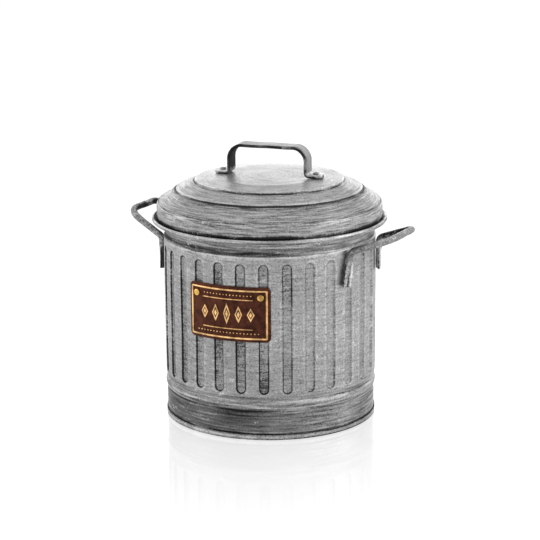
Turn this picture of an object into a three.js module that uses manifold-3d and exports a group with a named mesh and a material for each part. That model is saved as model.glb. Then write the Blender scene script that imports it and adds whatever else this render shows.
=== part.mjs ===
// A small galvanized bin with a lid: a fluted sheet-steel body with a rolled, wired rim,
// a base pan seamed round its foot, two rod handles, a riveted plaque, and a stepped lid
// that sits in the flare of the rim and lifts off by a strap handle.
//
// Millimetres, +Z up. The origin is on the floor, at the axis of the body. The side handles
// stand on +X and -X. An azimuth is in degrees from the front, -Y, turning towards +X.

import * as THREE from 'three';
import { mergeVertices } from 'three/addons/utils/BufferGeometryUtils.js';
import Module from 'manifold-3d';

const wasm = await Module();
wasm.setup();

// ---------------------------------------------------------------- driving dimensions

const CLEARANCE = 0.3;          // between pieces that touch on the real bin
const SHEET = 0.6;              // body sheet
const PAN_SHEET = 0.6;          // base pan sheet
const LID_SHEET = 0.6;          // lid sheet

// Body wall, its radii measured on the outside face.
const BODY_RADIUS = 79.7;
const CAN_HEIGHT = 151.9;       // floor to the top of the rolled rim
const BAND_INSET = 0.8;         // the plain band at the foot stands back by this much
const BEAD_CENTRE = 25.4;       // height of the bead above the plain band
const BEAD_HEIGHT = 8.2;
const BEAD_CROWN = 2.8;         // straight part at the bead's crest
const BEAD_RISE = 0.2;          // crest of the bead, out from the wall
const BEAD_SHOULDER = 30.6;     // height of the narrow land above the bead
const WALL_START = 33;          // height where the full radius begins

// Flutes pressed inward all round the wall, with round ends.
const FLUTES = 29;
const FLUTE_PHASE = -1.2;       // azimuth of the first flute's centre line
const FLUTE_BOTTOM = 34.9;
const FLUTE_TOP_BELOW_RIM = 19.8;
const FLUTE_WIDTH = 7.6;
const FLUTE_SLOPE = 1.1;        // width of each sloping side
const FLUTE_DEPTH = 1.5;

// Neck between the flutes and the rim, by depth below the top of the rim.
const NECK_EDGE_BELOW = 14.6;
const NECK_GROOVE_LOW_BELOW = 13.0;
const NECK_GROOVE_HIGH_BELOW = 9.0;
const NECK_BULGE_BELOW = 6.8;
const NECK_GROOVE_DEPTH = 1.0;
const NECK_BULGE_RISE = 0.5;

// Flare and rolled rim.
const RIM_OVERHANG = 8.7;       // rim out from the wall
const CURL_RADIUS = 1.5;        // outside of the roll
const FLARE_ANGLE = 27;         // slope of the flare, degrees above level
const CURL_END = -95;           // where the rolled edge stops, degrees round the roll
const CURL_STEPS = 6;

// Foot and base pan.
const FOOT_LIP_HEIGHT = 4;
const FOOT_LIP_GAP = 0.6;       // dark line between the lip and the plain band
const FOOT_RISE = 0.1;          // outside of the seam, out from the wall
const FOOT_CHAMFER = 0.3;
const PAN_RECESS = 3.9;         // floor to the underside of the pan

// Side handles, each one bent rod with flattened ears.
const HANDLE_ROD = 5.2;
const HANDLE_HALF_SPAN = 25.2;  // from the middle of the handle to each leg at its bend
const HANDLE_EAR_SPLAY = 3.5;   // each ear's foot stands this much further out
const HANDLE_LOOP_TAPER = 1.7;  // each leg comes in by this much at the grip
const HANDLE_CORNER = 12;       // bend radius at the grip's corners
const HANDLE_BEND = 5.5;        // bend radius above the ears
const EAR_WIDTH = 7.9;
const EAR_THICKNESS = 2.7;
const EAR_CREASE = 0.8;         // depth of the crease pressed down the ear
const EAR_STANDOFF = 1.35;      // gap behind the ear's edges
const EAR_TAPER_LENGTH = 9;     // rod to full ear width

// Each side handle was bent and welded by hand, so the two differ. Its feet (front and back
// ear on the right handle, back and front on the left) and its bend are measured down from
// the top of the rim, and its tilt is the grip's slope in degrees.
const RIGHT_HANDLE = { azimuth: 90, firstFoot: 41.1, lastFoot: 39.1, bend: 15.4, reach: 32.8, tilt: 20 };
const LEFT_HANDLE = { azimuth: 270, firstFoot: 43.1, lastFoot: 43.1, bend: 19.7, reach: 35, tilt: 30 };

// Lid. Its radii are measured on the outside face, and the feet of its steps and its top
// from the top of the skirt.
const LID_GAP = 3.5;            // skirt back from the outside of the rim
const LID_HEM_RADIUS = 2.9;     // turned-in lower edge, which rests in the flare
const LID_SKIRT_HEIGHT = 9.4;
const LID_SKIRT_DRAFT = 0.3;
const LID_SHOULDER = 0.5;       // bevel where the skirt meets the slope above it
const LID_OUTER_STEP = { radius: 73.6, foot: 7.2, run: 4.4, height: 4 };
const LID_INNER_STEP = { radius: 56.9, foot: 15.9, run: 1.5, height: 1.9 };
const LID_STEP_BREAK = { run: 0.54, height: 0.66 };     // where a step's slope eases off
const LID_TOP_RADIUS = 37.5;
const LID_TOP_RISE = 19.6;

// Strap handle on the lid.
const LID_TURN = 9.0;           // the lid as it stands, turned from +X towards +Y
const STRAP_WIDTH = 14;
const STRAP_THICKNESS = 2.2;
const STRAP_SPAN = 60;          // between the middles of the legs
const STRAP_FOOT = 12.5;        // foot length beyond the leg
const STRAP_HEIGHT = 23.6;      // top of the lid to the top of the strap
const STRAP_CORNER = 12;
const STRAP_BEND = 2.6;

// Plaque.
const PLAQUE_AZIMUTH = 4.2;
const PLAQUE_WIDTH = 64;        // straight across
const PLAQUE_HEIGHT = 41;
const PLAQUE_CENTRE = 95.1;     // height above the floor
const PLAQUE_THICKNESS = 1.0;
const PLAQUE_CORNER = 3.4;
const PLAQUE_FRAME_INSET = 2.0;
const PLAQUE_FRAME_WIDTH = 2.0;
const PLAQUE_RELIEF = 0.7;
const PLAQUE_RIVET_X = 25;
const PLAQUE_RIVET_Z = 13;
const LOZENGES = 5;
const LOZENGE_PITCH = 9;
const LOZENGE_WIDTH = 6;
const LOZENGE_HEIGHT = 17;
const LOZENGE_FALL = 3;         // each one out from the middle is this much shorter
const BAR_LENGTH = 40;
const BAR_WIDTH = 1.5;
const BAR_RISE = 11;            // bars above and below the middle of the plaque

// Rivets.
const LID_RIVET = { head: 2.6, headHeight: 1.1, shank: 1.2, tail: 2.1, tailHeight: 0.8, dimple: 1 };
const PLAQUE_RIVET = { head: 2.7, headHeight: 1.3, shank: 1.2, tail: 2, tailHeight: 0.7, dimple: 0 };
const RIVET_SIDES = 14;

// Finishes.
const ZINC = { color: 0x9a9b9c, roughness: 0.42, metalness: 0.9 };
const DARK_ZINC = { color: 0x7f8081, roughness: 0.5, metalness: 0.9 };
const BRONZE = { color: 0x6b4630, roughness: 0.45, metalness: 0.8 };
const BRASS = { color: 0xc79a55, roughness: 0.35, metalness: 0.9 };

// ---------------------------------------------------------------- small geometry helpers

const radians = THREE.MathUtils.degToRad;
const PITCH = 360 / FLUTES;
const COLUMNS = 2 * FLUTES;
const FIRST_COLUMN = FLUTE_PHASE - PITCH / 4;

const point = (radius, z) => new THREE.Vector2(radius, z);

// A point at an azimuth, a radius and a height.
function atAzimuth(azimuth, radius, z) {
  const angle = radians(azimuth);
  return new THREE.Vector3(radius * Math.sin(angle), -radius * Math.cos(angle), z);
}

// An open line moved sideways by a distance, to its left, with mitred corners.
function offsetLine(line, distance) {
  return line.map((at, i) => {
    const before = line[Math.max(i - 1, 0)];
    const after = line[Math.min(i + 1, line.length - 1)];
    const into = at.clone().sub(i > 0 ? before : at).normalize();
    const out = after.clone().sub(at).normalize();
    if (i === 0) into.copy(out);
    if (i === line.length - 1) out.copy(into);
    const along = into.clone().add(out).normalize();
    const normal = new THREE.Vector2(-along.y, along.x);
    return at.clone().addScaledVector(normal, distance / along.dot(into));
  });
}

// A polyline whose inner corners are rounded, each with its own radius.
function roundedLine(corners, radii, steps) {
  const line = [corners[0].clone()];
  for (let i = 1; i < corners.length - 1; i += 1) {
    const toBefore = corners[i - 1].clone().sub(corners[i]).normalize();
    const toAfter = corners[i + 1].clone().sub(corners[i]).normalize();
    const half = Math.acos(THREE.MathUtils.clamp(toBefore.dot(toAfter), -1, 1)) / 2;
    const radius = radii[i - 1];
    const bisector = toBefore.clone().add(toAfter).normalize();
    const centre = corners[i].clone().addScaledVector(bisector, radius / Math.sin(half));
    const run = radius / Math.tan(half);
    const first = corners[i].clone().addScaledVector(toBefore, run).sub(centre);
    const last = corners[i].clone().addScaledVector(toAfter, run).sub(centre);
    const sweep = Math.PI - 2 * half;
    for (let k = 0; k <= steps; k += 1) {
      const part = sweep * (k / steps);
      const a = Math.sin(sweep - part) / Math.sin(sweep);
      const b = Math.sin(part) / Math.sin(sweep);
      line.push(centre.clone().addScaledVector(first, a).addScaledVector(last, b));
    }
  }
  line.push(corners.at(-1).clone());
  return line;
}

// A geometry from vertices and triangles.
function geometryOf(vertices, triangles) {
  const geometry = new THREE.BufferGeometry();
  const numbers = vertices.flatMap((v) => [v.x, v.y, v.z]);
  geometry.setAttribute('position', new THREE.Float32BufferAttribute(numbers, 3));
  geometry.setIndex(triangles.flat());
  geometry.computeVertexNormals();
  return geometry;
}

// Triangles between two closed rings. Each ring has its vertices' numbers and how far round
// each one is, from 0 to 1, so that rings with different counts can be joined.
function stripBetween(lower, upper) {
  const triangles = [];
  const turn = (ring, i) => ring.turns[i % ring.turns.length] + Math.floor(i / ring.turns.length);
  const vertex = (ring, i) => ring.first + (i % ring.turns.length);
  let i = 0;
  let j = 0;
  while (i < lower.turns.length || j < upper.turns.length) {
    const lowerIsNext = j >= upper.turns.length
      || (i < lower.turns.length && turn(lower, i + 1) <= turn(upper, j + 1));
    if (lowerIsNext) {
      triangles.push([vertex(lower, i), vertex(lower, i + 1), vertex(upper, j)]);
      i += 1;
    } else {
      triangles.push([vertex(lower, i), vertex(upper, j + 1), vertex(upper, j)]);
      j += 1;
    }
  }
  return triangles;
}

// A skin over a row of rings. It closes from the last ring to the first, or has flat ends.
function skin(rings, joinsUp) {
  const vertices = [];
  const placed = rings.map((ring) => {
    const first = vertices.length;
    vertices.push(...ring.points);
    return { first, turns: ring.turns };
  });
  const triangles = [];
  for (let k = 0; k + 1 < placed.length; k += 1) {
    triangles.push(...stripBetween(placed[k], placed[k + 1]));
  }
  if (joinsUp) {
    triangles.push(...stripBetween(placed.at(-1), placed[0]));
    return geometryOf(vertices, triangles);
  }
  for (const [ring, points, startsHere] of [
    [placed[0], rings[0].points, true],
    [placed.at(-1), rings.at(-1).points, false],
  ]) {
    const middle = points.reduce((sum, p) => sum.add(p), new THREE.Vector3());
    vertices.push(middle.divideScalar(points.length));
    points.forEach((_, i) => {
      const a = ring.first + i;
      const b = ring.first + ((i + 1) % points.length);
      triangles.push(startsHere ? [vertices.length - 1, b, a] : [vertices.length - 1, a, b]);
    });
  }
  return geometryOf(vertices, triangles);
}

// A solid turned about +Z from a profile of radius and height.
function turned(profile) {
  const start = radians(FIRST_COLUMN);
  return new THREE.LatheGeometry(profile, COLUMNS, start, 2 * Math.PI).rotateX(Math.PI / 2);
}

// Only positions are kept, and vertices in one place become one.
function solidOf(geometry) {
  const bare = geometry.clone();
  bare.deleteAttribute('normal');
  bare.deleteAttribute('uv');
  const merged = mergeVertices(bare, 1e-4);
  const index = [];
  const source = merged.index.array;
  for (let i = 0; i < source.length; i += 3) {
    const [a, b, c] = source.subarray(i, i + 3);
    if (a !== b && b !== c && c !== a) index.push(a, b, c);
  }
  const vertProperties = new Float32Array(merged.attributes.position.array);
  return new wasm.Manifold(
    new wasm.Mesh({ numProp: 3, vertProperties, triVerts: new Uint32Array(index) }),
  );
}

function geometryFrom(solid) {
  const mesh = solid.getMesh();
  const geometry = new THREE.BufferGeometry();
  geometry.setAttribute('position', new THREE.Float32BufferAttribute(mesh.vertProperties, 3));
  geometry.setIndex([...mesh.triVerts]);
  geometry.computeVertexNormals();
  return geometry;
}

const cutFrom = (solid, cutters) => cutters.reduce((rest, c) => rest.subtract(solidOf(c)), solid);

// A round bar along +Z between two heights.
function bar(radius, from, to) {
  return new THREE.CylinderGeometry(radius, radius, to - from, RIVET_SIDES)
    .rotateX(Math.PI / 2)
    .translate(0, 0, (from + to) / 2);
}

function rectangle(width, height, corner) {
  const shape = new THREE.Shape();
  const x = width / 2 - corner;
  const z = height / 2 - corner;
  shape.absarc(x, z, corner, 0, Math.PI / 2);
  shape.absarc(-x, z, corner, Math.PI / 2, Math.PI);
  shape.absarc(-x, -z, corner, Math.PI, 1.5 * Math.PI);
  shape.absarc(x, -z, corner, 1.5 * Math.PI, 2 * Math.PI);
  return shape;
}

// ---------------------------------------------------------------- sizes worked out

const BAND_RADIUS = BODY_RADIUS - BAND_INSET;
const FOOT_RADIUS = BODY_RADIUS + FOOT_RISE;
const BODY_FOOT_RADIUS = FOOT_RADIUS - PAN_SHEET - CLEARANCE;
const RIM_RADIUS = BODY_RADIUS + RIM_OVERHANG;
const CURL_CENTRE = point(RIM_RADIUS - CURL_RADIUS, CAN_HEIGHT - CURL_RADIUS);
const NECK_RADIUS = BODY_RADIUS + NECK_BULGE_RISE;
const FLUTE_TOP = CAN_HEIGHT - FLUTE_TOP_BELOW_RIM;

// The flare runs straight into the top of the roll. The line here is its upper face.
const flareSlope = Math.tan(radians(FLARE_ANGLE));
const flareTop = point(
  CURL_CENTRE.x - CURL_RADIUS * Math.sin(radians(FLARE_ANGLE)),
  CURL_CENTRE.y + CURL_RADIUS * Math.cos(radians(FLARE_ANGLE)),
);
const NECK_INSIDE = NECK_RADIUS - SHEET;
const flareFoot = point(NECK_INSIDE, flareTop.y - (flareTop.x - NECK_INSIDE) * flareSlope);

// The lid's turned-in edge is an arc, and the flare holds it one clearance away.
const LID_RADIUS = RIM_RADIUS - LID_GAP;
const HEM_X = LID_RADIUS - LID_HEM_RADIUS;
const hemAboveFlare = (LID_HEM_RADIUS + CLEARANCE) / Math.cos(radians(FLARE_ANGLE));
const HEM_Z = flareTop.y - (flareTop.x - HEM_X) * flareSlope + hemAboveFlare;
const SKIRT_TOP = HEM_Z + LID_SKIRT_HEIGHT;
const LID_TOP = SKIRT_TOP + LID_TOP_RISE;

// ---------------------------------------------------------------- body

const plainRing = (radius, z) => {
  const turns = Array.from({ length: COLUMNS }, (_, i) => i / COLUMNS);
  const points = turns.map((turn) => atAzimuth(FIRST_COLUMN + 360 * turn, radius, z));
  return { points, turns };
};

// A ring through the flutes, where each has a rim of one half-width and a floor of another.
function flutedRing(radius, z, halfWidth, halfFloor) {
  const points = [];
  const turns = [];
  for (let k = 0; k < FLUTES; k += 1) {
    for (const [across, depth] of [
      [-halfWidth, 0],
      [-halfFloor, FLUTE_DEPTH],
      [halfFloor, FLUTE_DEPTH],
      [halfWidth, 0],
    ]) {
      const azimuth = FLUTE_PHASE + k * PITCH + THREE.MathUtils.radToDeg(across / BODY_RADIUS);
      points.push(atAzimuth(azimuth, radius - depth, z));
      turns.push((azimuth - FIRST_COLUMN) / 360);
    }
  }
  return { points, turns };
}

// The half-width of a round-ended slot, at a distance from its end.
const slotHalf = (half, fromEnd) => {
  const short = Math.max(half - fromEnd, 0);
  return Math.sqrt(Math.max(half * half - short * short, 0));
};

// The rings of the fluted part of the wall, from the bottom up.
function fluteRings(radius) {
  const half = FLUTE_WIDTH / 2;
  const floor = half - FLUTE_SLOPE;
  const fromEnds = [FLUTE_SLOPE + 0.1 * floor, FLUTE_SLOPE + 0.5 * floor, half];
  const ringAt = (fromEnd, z) => (
    flutedRing(radius, z, slotHalf(half, fromEnd), slotHalf(floor, fromEnd - FLUTE_SLOPE))
  );
  return [
    plainRing(radius, FLUTE_BOTTOM),
    ...fromEnds.map((fromEnd) => ringAt(fromEnd, FLUTE_BOTTOM + fromEnd)),
    ...fromEnds.toReversed().map((fromEnd) => ringAt(fromEnd, FLUTE_TOP - fromEnd)),
    plainRing(radius, FLUTE_TOP),
  ];
}

function bodyShell() {
  const below = (depth) => CAN_HEIGHT - depth;
  const bead = BODY_RADIUS + BEAD_RISE;
  const lowerWall = [
    point(BODY_FOOT_RADIUS, PAN_SHEET + CLEARANCE),
    point(BODY_FOOT_RADIUS, FOOT_LIP_HEIGHT),
    point(BAND_RADIUS, FOOT_LIP_HEIGHT + FOOT_LIP_GAP),
    point(BAND_RADIUS, BEAD_CENTRE - BEAD_HEIGHT / 2),
    point(bead, BEAD_CENTRE - BEAD_CROWN / 2),
    point(bead, BEAD_CENTRE + BEAD_CROWN / 2),
    point(BAND_RADIUS, BEAD_SHOULDER),
    point(BODY_RADIUS, WALL_START),
  ];
  const flareNormal = point(-Math.sin(radians(FLARE_ANGLE)), Math.cos(radians(FLARE_ANGLE)));
  const flareUnder = flareFoot.clone().addScaledVector(flareNormal, -SHEET);
  const neckTop = flareUnder.y + (NECK_RADIUS - flareUnder.x) * flareSlope;
  const upperWall = [
    point(BODY_RADIUS, below(NECK_EDGE_BELOW)),
    point(BODY_RADIUS - NECK_GROOVE_DEPTH, below(NECK_GROOVE_LOW_BELOW)),
    point(BODY_RADIUS - NECK_GROOVE_DEPTH, below(NECK_GROOVE_HIGH_BELOW)),
    point(NECK_RADIUS, below(NECK_BULGE_BELOW)),
    point(NECK_RADIUS, neckTop),
  ];
  // Round the roll, on its inside face first, from the flare to the free edge.
  const rollFrom = 90 + FLARE_ANGLE;
  const roll = (radius) => Array.from({ length: CURL_STEPS + 1 }, (_, i) => {
    const angle = radians(rollFrom + ((CURL_END - rollFrom) * i) / CURL_STEPS);
    return point(
      CURL_CENTRE.x + radius * Math.cos(angle),
      CURL_CENTRE.y + radius * Math.sin(angle),
    );
  });
  const outside = [...upperWall, ...roll(CURL_RADIUS - SHEET)];
  const insideUpper = [
    ...roll(CURL_RADIUS).toReversed(),
    ...offsetLine(upperWall, SHEET).toReversed(),
  ];
  insideUpper[CURL_STEPS + 1].copy(flareFoot);
  const rings = (line) => line.map((at) => plainRing(at.x, at.y));
  const insideLower = offsetLine(lowerWall, SHEET).toReversed();
  return skin([
    ...rings(lowerWall),
    ...fluteRings(BODY_RADIUS),
    ...rings(outside),
    ...rings(insideUpper),
    ...fluteRings(BODY_RADIUS - SHEET).toReversed(),
    ...rings(insideLower),
  ], true);
}

// The wire that the rim is rolled over.
function rimWire() {
  const radius = CURL_RADIUS - SHEET - CLEARANCE;
  const sides = 6;
  const profile = Array.from({ length: sides + 1 }, (_, i) => {
    const angle = (2 * Math.PI * i) / sides;
    return point(
      CURL_CENTRE.x + radius * Math.cos(angle),
      CURL_CENTRE.y + radius * Math.sin(angle),
    );
  });
  return turned(profile);
}

// The pan drops inside the foot, passes under the body's edge and turns up outside it.
function basePan() {
  const channelInside = BODY_FOOT_RADIUS - SHEET - CLEARANCE;
  const lipInside = FOOT_RADIUS - PAN_SHEET;
  return turned([
    point(0, PAN_RECESS),
    point(channelInside - PAN_SHEET, PAN_RECESS),
    point(channelInside - PAN_SHEET, 0),
    point(FOOT_RADIUS - FOOT_CHAMFER, 0),
    point(FOOT_RADIUS, FOOT_CHAMFER),
    point(FOOT_RADIUS, FOOT_LIP_HEIGHT),
    point(lipInside, FOOT_LIP_HEIGHT),
    point(lipInside, PAN_SHEET),
    point(channelInside, PAN_SHEET),
    point(channelInside, PAN_RECESS + PAN_SHEET),
    point(0, PAN_RECESS + PAN_SHEET),
  ]);
}

// ---------------------------------------------------------------- side handles

// A section of the rod, pressed flat by a share from 0, round, to 1, a creased ear. Its first
// axis runs across the ear and its second one away from the wall.
const SECTION_SIDES = 12;
const sectionPoint = (turn, flat) => {
  const angle = 2 * Math.PI * turn;
  const across = THREE.MathUtils.lerp(HANDLE_ROD, EAR_WIDTH, flat) / 2;
  const deep = THREE.MathUtils.lerp(HANDLE_ROD, EAR_THICKNESS, flat) / 2;
  const squareness = 1 - 0.35 * flat;
  const shaped = (value) => Math.sign(value) * Math.abs(value) ** squareness;
  const onCrease = Math.abs(Math.cos(angle)) < 1e-6;
  const inward = Math.sin(angle) > 0 ? EAR_CREASE : EAR_STANDOFF;
  return {
    across: across * shaped(Math.cos(angle)),
    away: deep * shaped(Math.sin(angle)) - (onCrease ? flat * inward : 0),
  };
};

function sideHandle({ azimuth, firstFoot, lastFoot, bend, reach, tilt }) {
  const earRadius = BODY_RADIUS + CLEARANCE + EAR_STANDOFF + EAR_THICKNESS / 2;
  const onWall = (across) => Math.sqrt(earRadius * earRadius - across * across);
  const footAcross = HANDLE_HALF_SPAN + HANDLE_EAR_SPLAY;
  const gripAcross = HANDLE_HALF_SPAN - HANDLE_LOOP_TAPER;
  const bendHeight = CAN_HEIGHT - bend;
  const gripOut = onWall(HANDLE_HALF_SPAN) + reach * Math.cos(radians(tilt));
  const gripUp = bendHeight + reach * Math.sin(radians(tilt));
  const local = (out, across, z) => new THREE.Vector3(out, across, z);
  const corners = [
    local(onWall(footAcross), -footAcross, CAN_HEIGHT - firstFoot),
    local(onWall(HANDLE_HALF_SPAN), -HANDLE_HALF_SPAN, bendHeight),
    local(gripOut, -gripAcross, gripUp),
    local(gripOut, gripAcross, gripUp),
    local(onWall(HANDLE_HALF_SPAN), HANDLE_HALF_SPAN, bendHeight),
    local(onWall(footAcross), footAcross, CAN_HEIGHT - lastFoot),
  ];
  const bends = [HANDLE_BEND, HANDLE_CORNER, HANDLE_CORNER, HANDLE_BEND];
  const rough = roundedLine(corners, bends, 4);
  // Extra stations on the ears, where the rod spreads into them.
  const earTop = rough[1];
  const spread = rough[0].distanceTo(earTop);
  const share = THREE.MathUtils.clamp(1 - EAR_TAPER_LENGTH / spread, 0.1, 0.9);
  const path = [
    rough[0],
    rough[0].clone().lerp(earTop, share),
    rough[0].clone().lerp(earTop, (1 + share) / 2),
    ...rough.slice(1, -1),
    rough.at(-1).clone().lerp(rough.at(-2), (1 + share) / 2),
    rough.at(-1).clone().lerp(rough.at(-2), share),
    rough.at(-1),
  ];
  const flatness = (i) => {
    const fromEnd = Math.min(i, path.length - 1 - i);
    return [1, 1, 0.7, 0.3][fromEnd] ?? 0;
  };
  const angle = radians(azimuth);
  const outward = new THREE.Vector3(Math.sin(angle), -Math.cos(angle), 0);
  const sideways = new THREE.Vector3(Math.cos(angle), Math.sin(angle), 0);
  const inFrame = (v) => new THREE.Vector3(0, 0, v.z)
    .addScaledVector(outward, v.x)
    .addScaledVector(sideways, v.y);
  const turns = Array.from({ length: SECTION_SIDES }, (_, i) => i / SECTION_SIDES);
  const rings = path.map((at, i) => {
    const before = path[Math.max(i - 1, 0)];
    const after = path[Math.min(i + 1, path.length - 1)];
    const along = after.clone().sub(before).normalize();
    // On the ears the section faces straight away from the body's axis, and further on it
    // turns with the rod, always square to it.
    const radial = new THREE.Vector3(at.x, at.y, 0).normalize();
    const lifted = new THREE.Vector3(-Math.sin(radians(tilt)), 0, Math.cos(radians(tilt)));
    const aboveEar = at.z - bendHeight + HANDLE_BEND;
    const fromEar = THREE.MathUtils.clamp(aboveEar / HANDLE_BEND, 0, 1);
    const away = radial.multiplyScalar(1 - fromEar).addScaledVector(lifted, fromEar);
    const across = new THREE.Vector3().crossVectors(away, along).normalize();
    const square = new THREE.Vector3().crossVectors(along, across);
    const points = turns.map((turn) => {
      const section = sectionPoint(turn, flatness(i));
      return inFrame(at.clone()
        .addScaledVector(across, section.across)
        .addScaledVector(square, section.away));
    });
    return { points, turns };
  });
  return skin(rings, false);
}

// ---------------------------------------------------------------- lid

// The outside of the lid, from the turned-in edge up to the axis.
function lidOutside() {
  const hem = [-90, -60, -30, 0].map((degrees) => point(
    HEM_X + LID_HEM_RADIUS * Math.cos(radians(degrees)),
    HEM_Z + LID_HEM_RADIUS * Math.sin(radians(degrees)),
  ));
  const skirtTop = LID_RADIUS - LID_SKIRT_DRAFT;
  const step = ({ radius, foot, run, height }) => [
    point(radius, SKIRT_TOP + foot),
    point(radius - LID_STEP_BREAK.run * run, SKIRT_TOP + foot + LID_STEP_BREAK.height * height),
    point(radius - run, SKIRT_TOP + foot + height),
  ];
  return [
    ...hem,
    point(skirtTop, SKIRT_TOP),
    point(skirtTop - LID_SHOULDER, SKIRT_TOP + LID_SHOULDER),
    ...step(LID_OUTER_STEP),
    ...step(LID_INNER_STEP),
    point(LID_TOP_RADIUS, LID_TOP),
    point(0, LID_TOP),
  ];
}

const STRAP_FOOT_CENTRE = STRAP_SPAN / 2 + STRAP_FOOT - STRAP_WIDTH / 2 + 1;
const RIVET_PLACES = [
  { name: 'lid_rivet_right', along: STRAP_FOOT_CENTRE },
  { name: 'lid_rivet_left', along: -STRAP_FOOT_CENTRE },
];

function lidShell() {
  const outside = lidOutside();
  const inside = offsetLine(outside, LID_SHEET);
  inside[inside.length - 1].x = 0;
  // The profile runs out along the inside and back along the outside, so faces point out.
  const solid = solidOf(turned([...inside.toReversed(), ...outside]));
  const holes = RIVET_PLACES.map(({ along }) => (
    bar(LID_RIVET.shank + CLEARANCE, LID_TOP - 10, LID_TOP + 5).translate(along, 0, 0)
  ));
  return geometryFrom(cutFrom(solid, holes));
}

// A strap bent to a bridge, with its feet turned out and their ends rounded.
function lidStrap() {
  const seat = LID_TOP + CLEARANCE;
  const middle = seat + STRAP_THICKNESS / 2;
  const top = LID_TOP + STRAP_HEIGHT - STRAP_THICKNESS / 2;
  const end = STRAP_SPAN / 2 + STRAP_FOOT;
  const line = roundedLine([
    point(-end, middle),
    point(-STRAP_SPAN / 2, middle),
    point(-STRAP_SPAN / 2, top),
    point(STRAP_SPAN / 2, top),
    point(STRAP_SPAN / 2, middle),
    point(end, middle),
  ], [STRAP_BEND, STRAP_CORNER, STRAP_CORNER, STRAP_BEND], 6);
  const outline = [
    ...offsetLine(line, STRAP_THICKNESS / 2),
    ...offsetLine(line, -STRAP_THICKNESS / 2).toReversed(),
  ];
  const strip = new THREE.ExtrudeGeometry(new THREE.Shape(outline), {
    depth: STRAP_WIDTH,
    bevelEnabled: false,
  }).translate(0, 0, -STRAP_WIDTH / 2).rotateX(Math.PI / 2);
  const plan = new THREE.ExtrudeGeometry(rectangle(2 * end, STRAP_WIDTH + 0.02, STRAP_WIDTH / 2), {
    depth: 2 * STRAP_HEIGHT,
    bevelEnabled: false,
    curveSegments: 6,
  }).translate(0, 0, LID_TOP - STRAP_HEIGHT / 2);
  const holes = RIVET_PLACES.map(({ along }) => (
    bar(LID_RIVET.shank + CLEARANCE, seat - 1, seat + STRAP_THICKNESS + 1).translate(along, 0, 0)
  ));
  return geometryFrom(cutFrom(solidOf(strip).intersect(solidOf(plan)), holes));
}

// A rivet along +Z: its head rests at the first height and its tail is at the second.
function rivet(size, headAt, tailAt) {
  const headSeat = headAt + CLEARANCE;
  const tailSeat = tailAt - CLEARANCE;
  const dimpled = size.dimple > 0
    ? [
      point(size.dimple, headSeat + size.headHeight),
      point(size.dimple, headSeat + size.headHeight / 3),
      point(0, headSeat + size.headHeight / 3),
    ]
    : [point(0, headSeat + size.headHeight)];
  const profile = [
    point(0, tailSeat - size.tailHeight),
    point(size.tail * 0.7, tailSeat - size.tailHeight),
    point(size.tail, tailSeat - size.tailHeight / 2),
    point(size.tail, tailSeat),
    point(size.shank, tailSeat),
    point(size.shank, headSeat),
    point(size.head, headSeat),
    point(size.head * 0.87, headSeat + size.headHeight * 0.6),
    point(size.head * 0.5, headSeat + size.headHeight),
    ...dimpled,
  ];
  return new THREE.LatheGeometry(profile, RIVET_SIDES).rotateX(Math.PI / 2);
}

// ---------------------------------------------------------------- plaque

const PLAQUE_BACK = BODY_RADIUS + CLEARANCE;
const PLAQUE_FACE = PLAQUE_BACK + PLAQUE_THICKNESS;

// A slice of a round wall between two radii, taller than the plaque.
function wallSlice(inner, outer) {
  const low = PLAQUE_CENTRE - PLAQUE_HEIGHT;
  const high = PLAQUE_CENTRE + PLAQUE_HEIGHT;
  return solidOf(turned([
    point(inner, low), point(outer, low), point(outer, high), point(inner, high), point(inner, low),
  ]));
}

// A flat shape, raised as a block that crosses the front of the wall where the plaque is.
function throughPlaque(shapes) {
  const block = new THREE.ExtrudeGeometry(shapes, {
    depth: BODY_RADIUS,
    bevelEnabled: false,
    curveSegments: 4,
  });
  return block
    .rotateX(Math.PI / 2)
    .translate(0, -BODY_RADIUS / 2, PLAQUE_CENTRE)
    .rotateZ(radians(PLAQUE_AZIMUTH));
}

function frameShape() {
  const outer = 2 * PLAQUE_FRAME_INSET;
  const inner = outer + 2 * PLAQUE_FRAME_WIDTH;
  const corner = Math.max(PLAQUE_CORNER - PLAQUE_FRAME_INSET / 2, 0.5);
  const shape = rectangle(PLAQUE_WIDTH - outer, PLAQUE_HEIGHT - outer, corner);
  shape.holes.push(rectangle(PLAQUE_WIDTH - inner, PLAQUE_HEIGHT - inner, corner / 2));
  return shape;
}

// A plain ornament: a row of lozenges between two bars.
function ornamentShapes() {
  const shapes = [];
  for (let i = 0; i < LOZENGES; i += 1) {
    const fromMiddle = i - (LOZENGES - 1) / 2;
    const height = Math.max(LOZENGE_HEIGHT - LOZENGE_FALL * Math.abs(fromMiddle), LOZENGE_WIDTH);
    const x = fromMiddle * LOZENGE_PITCH;
    shapes.push(new THREE.Shape([
      point(x + LOZENGE_WIDTH / 2, 0),
      point(x, height / 2),
      point(x - LOZENGE_WIDTH / 2, 0),
      point(x, -height / 2),
    ]));
  }
  for (const z of [-BAR_RISE, BAR_RISE]) {
    shapes.push(new THREE.Shape([
      point(-BAR_LENGTH / 2, z - BAR_WIDTH / 2),
      point(BAR_LENGTH / 2, z - BAR_WIDTH / 2),
      point(BAR_LENGTH / 2, z + BAR_WIDTH / 2),
      point(-BAR_LENGTH / 2, z + BAR_WIDTH / 2),
    ]));
  }
  return shapes;
}

const plaqueRivetAzimuth = (side) => (
  PLAQUE_AZIMUTH + side * THREE.MathUtils.radToDeg(Math.asin(PLAQUE_RIVET_X / PLAQUE_FACE))
);

// A piece made along +Z, laid along the radius at a rivet's place on the plaque.
const onPlaqueRivet = (geometry, side) => geometry
  .rotateX(Math.PI / 2)
  .rotateZ(radians(plaqueRivetAzimuth(side)))
  .translate(0, 0, PLAQUE_CENTRE + PLAQUE_RIVET_Z);

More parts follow.
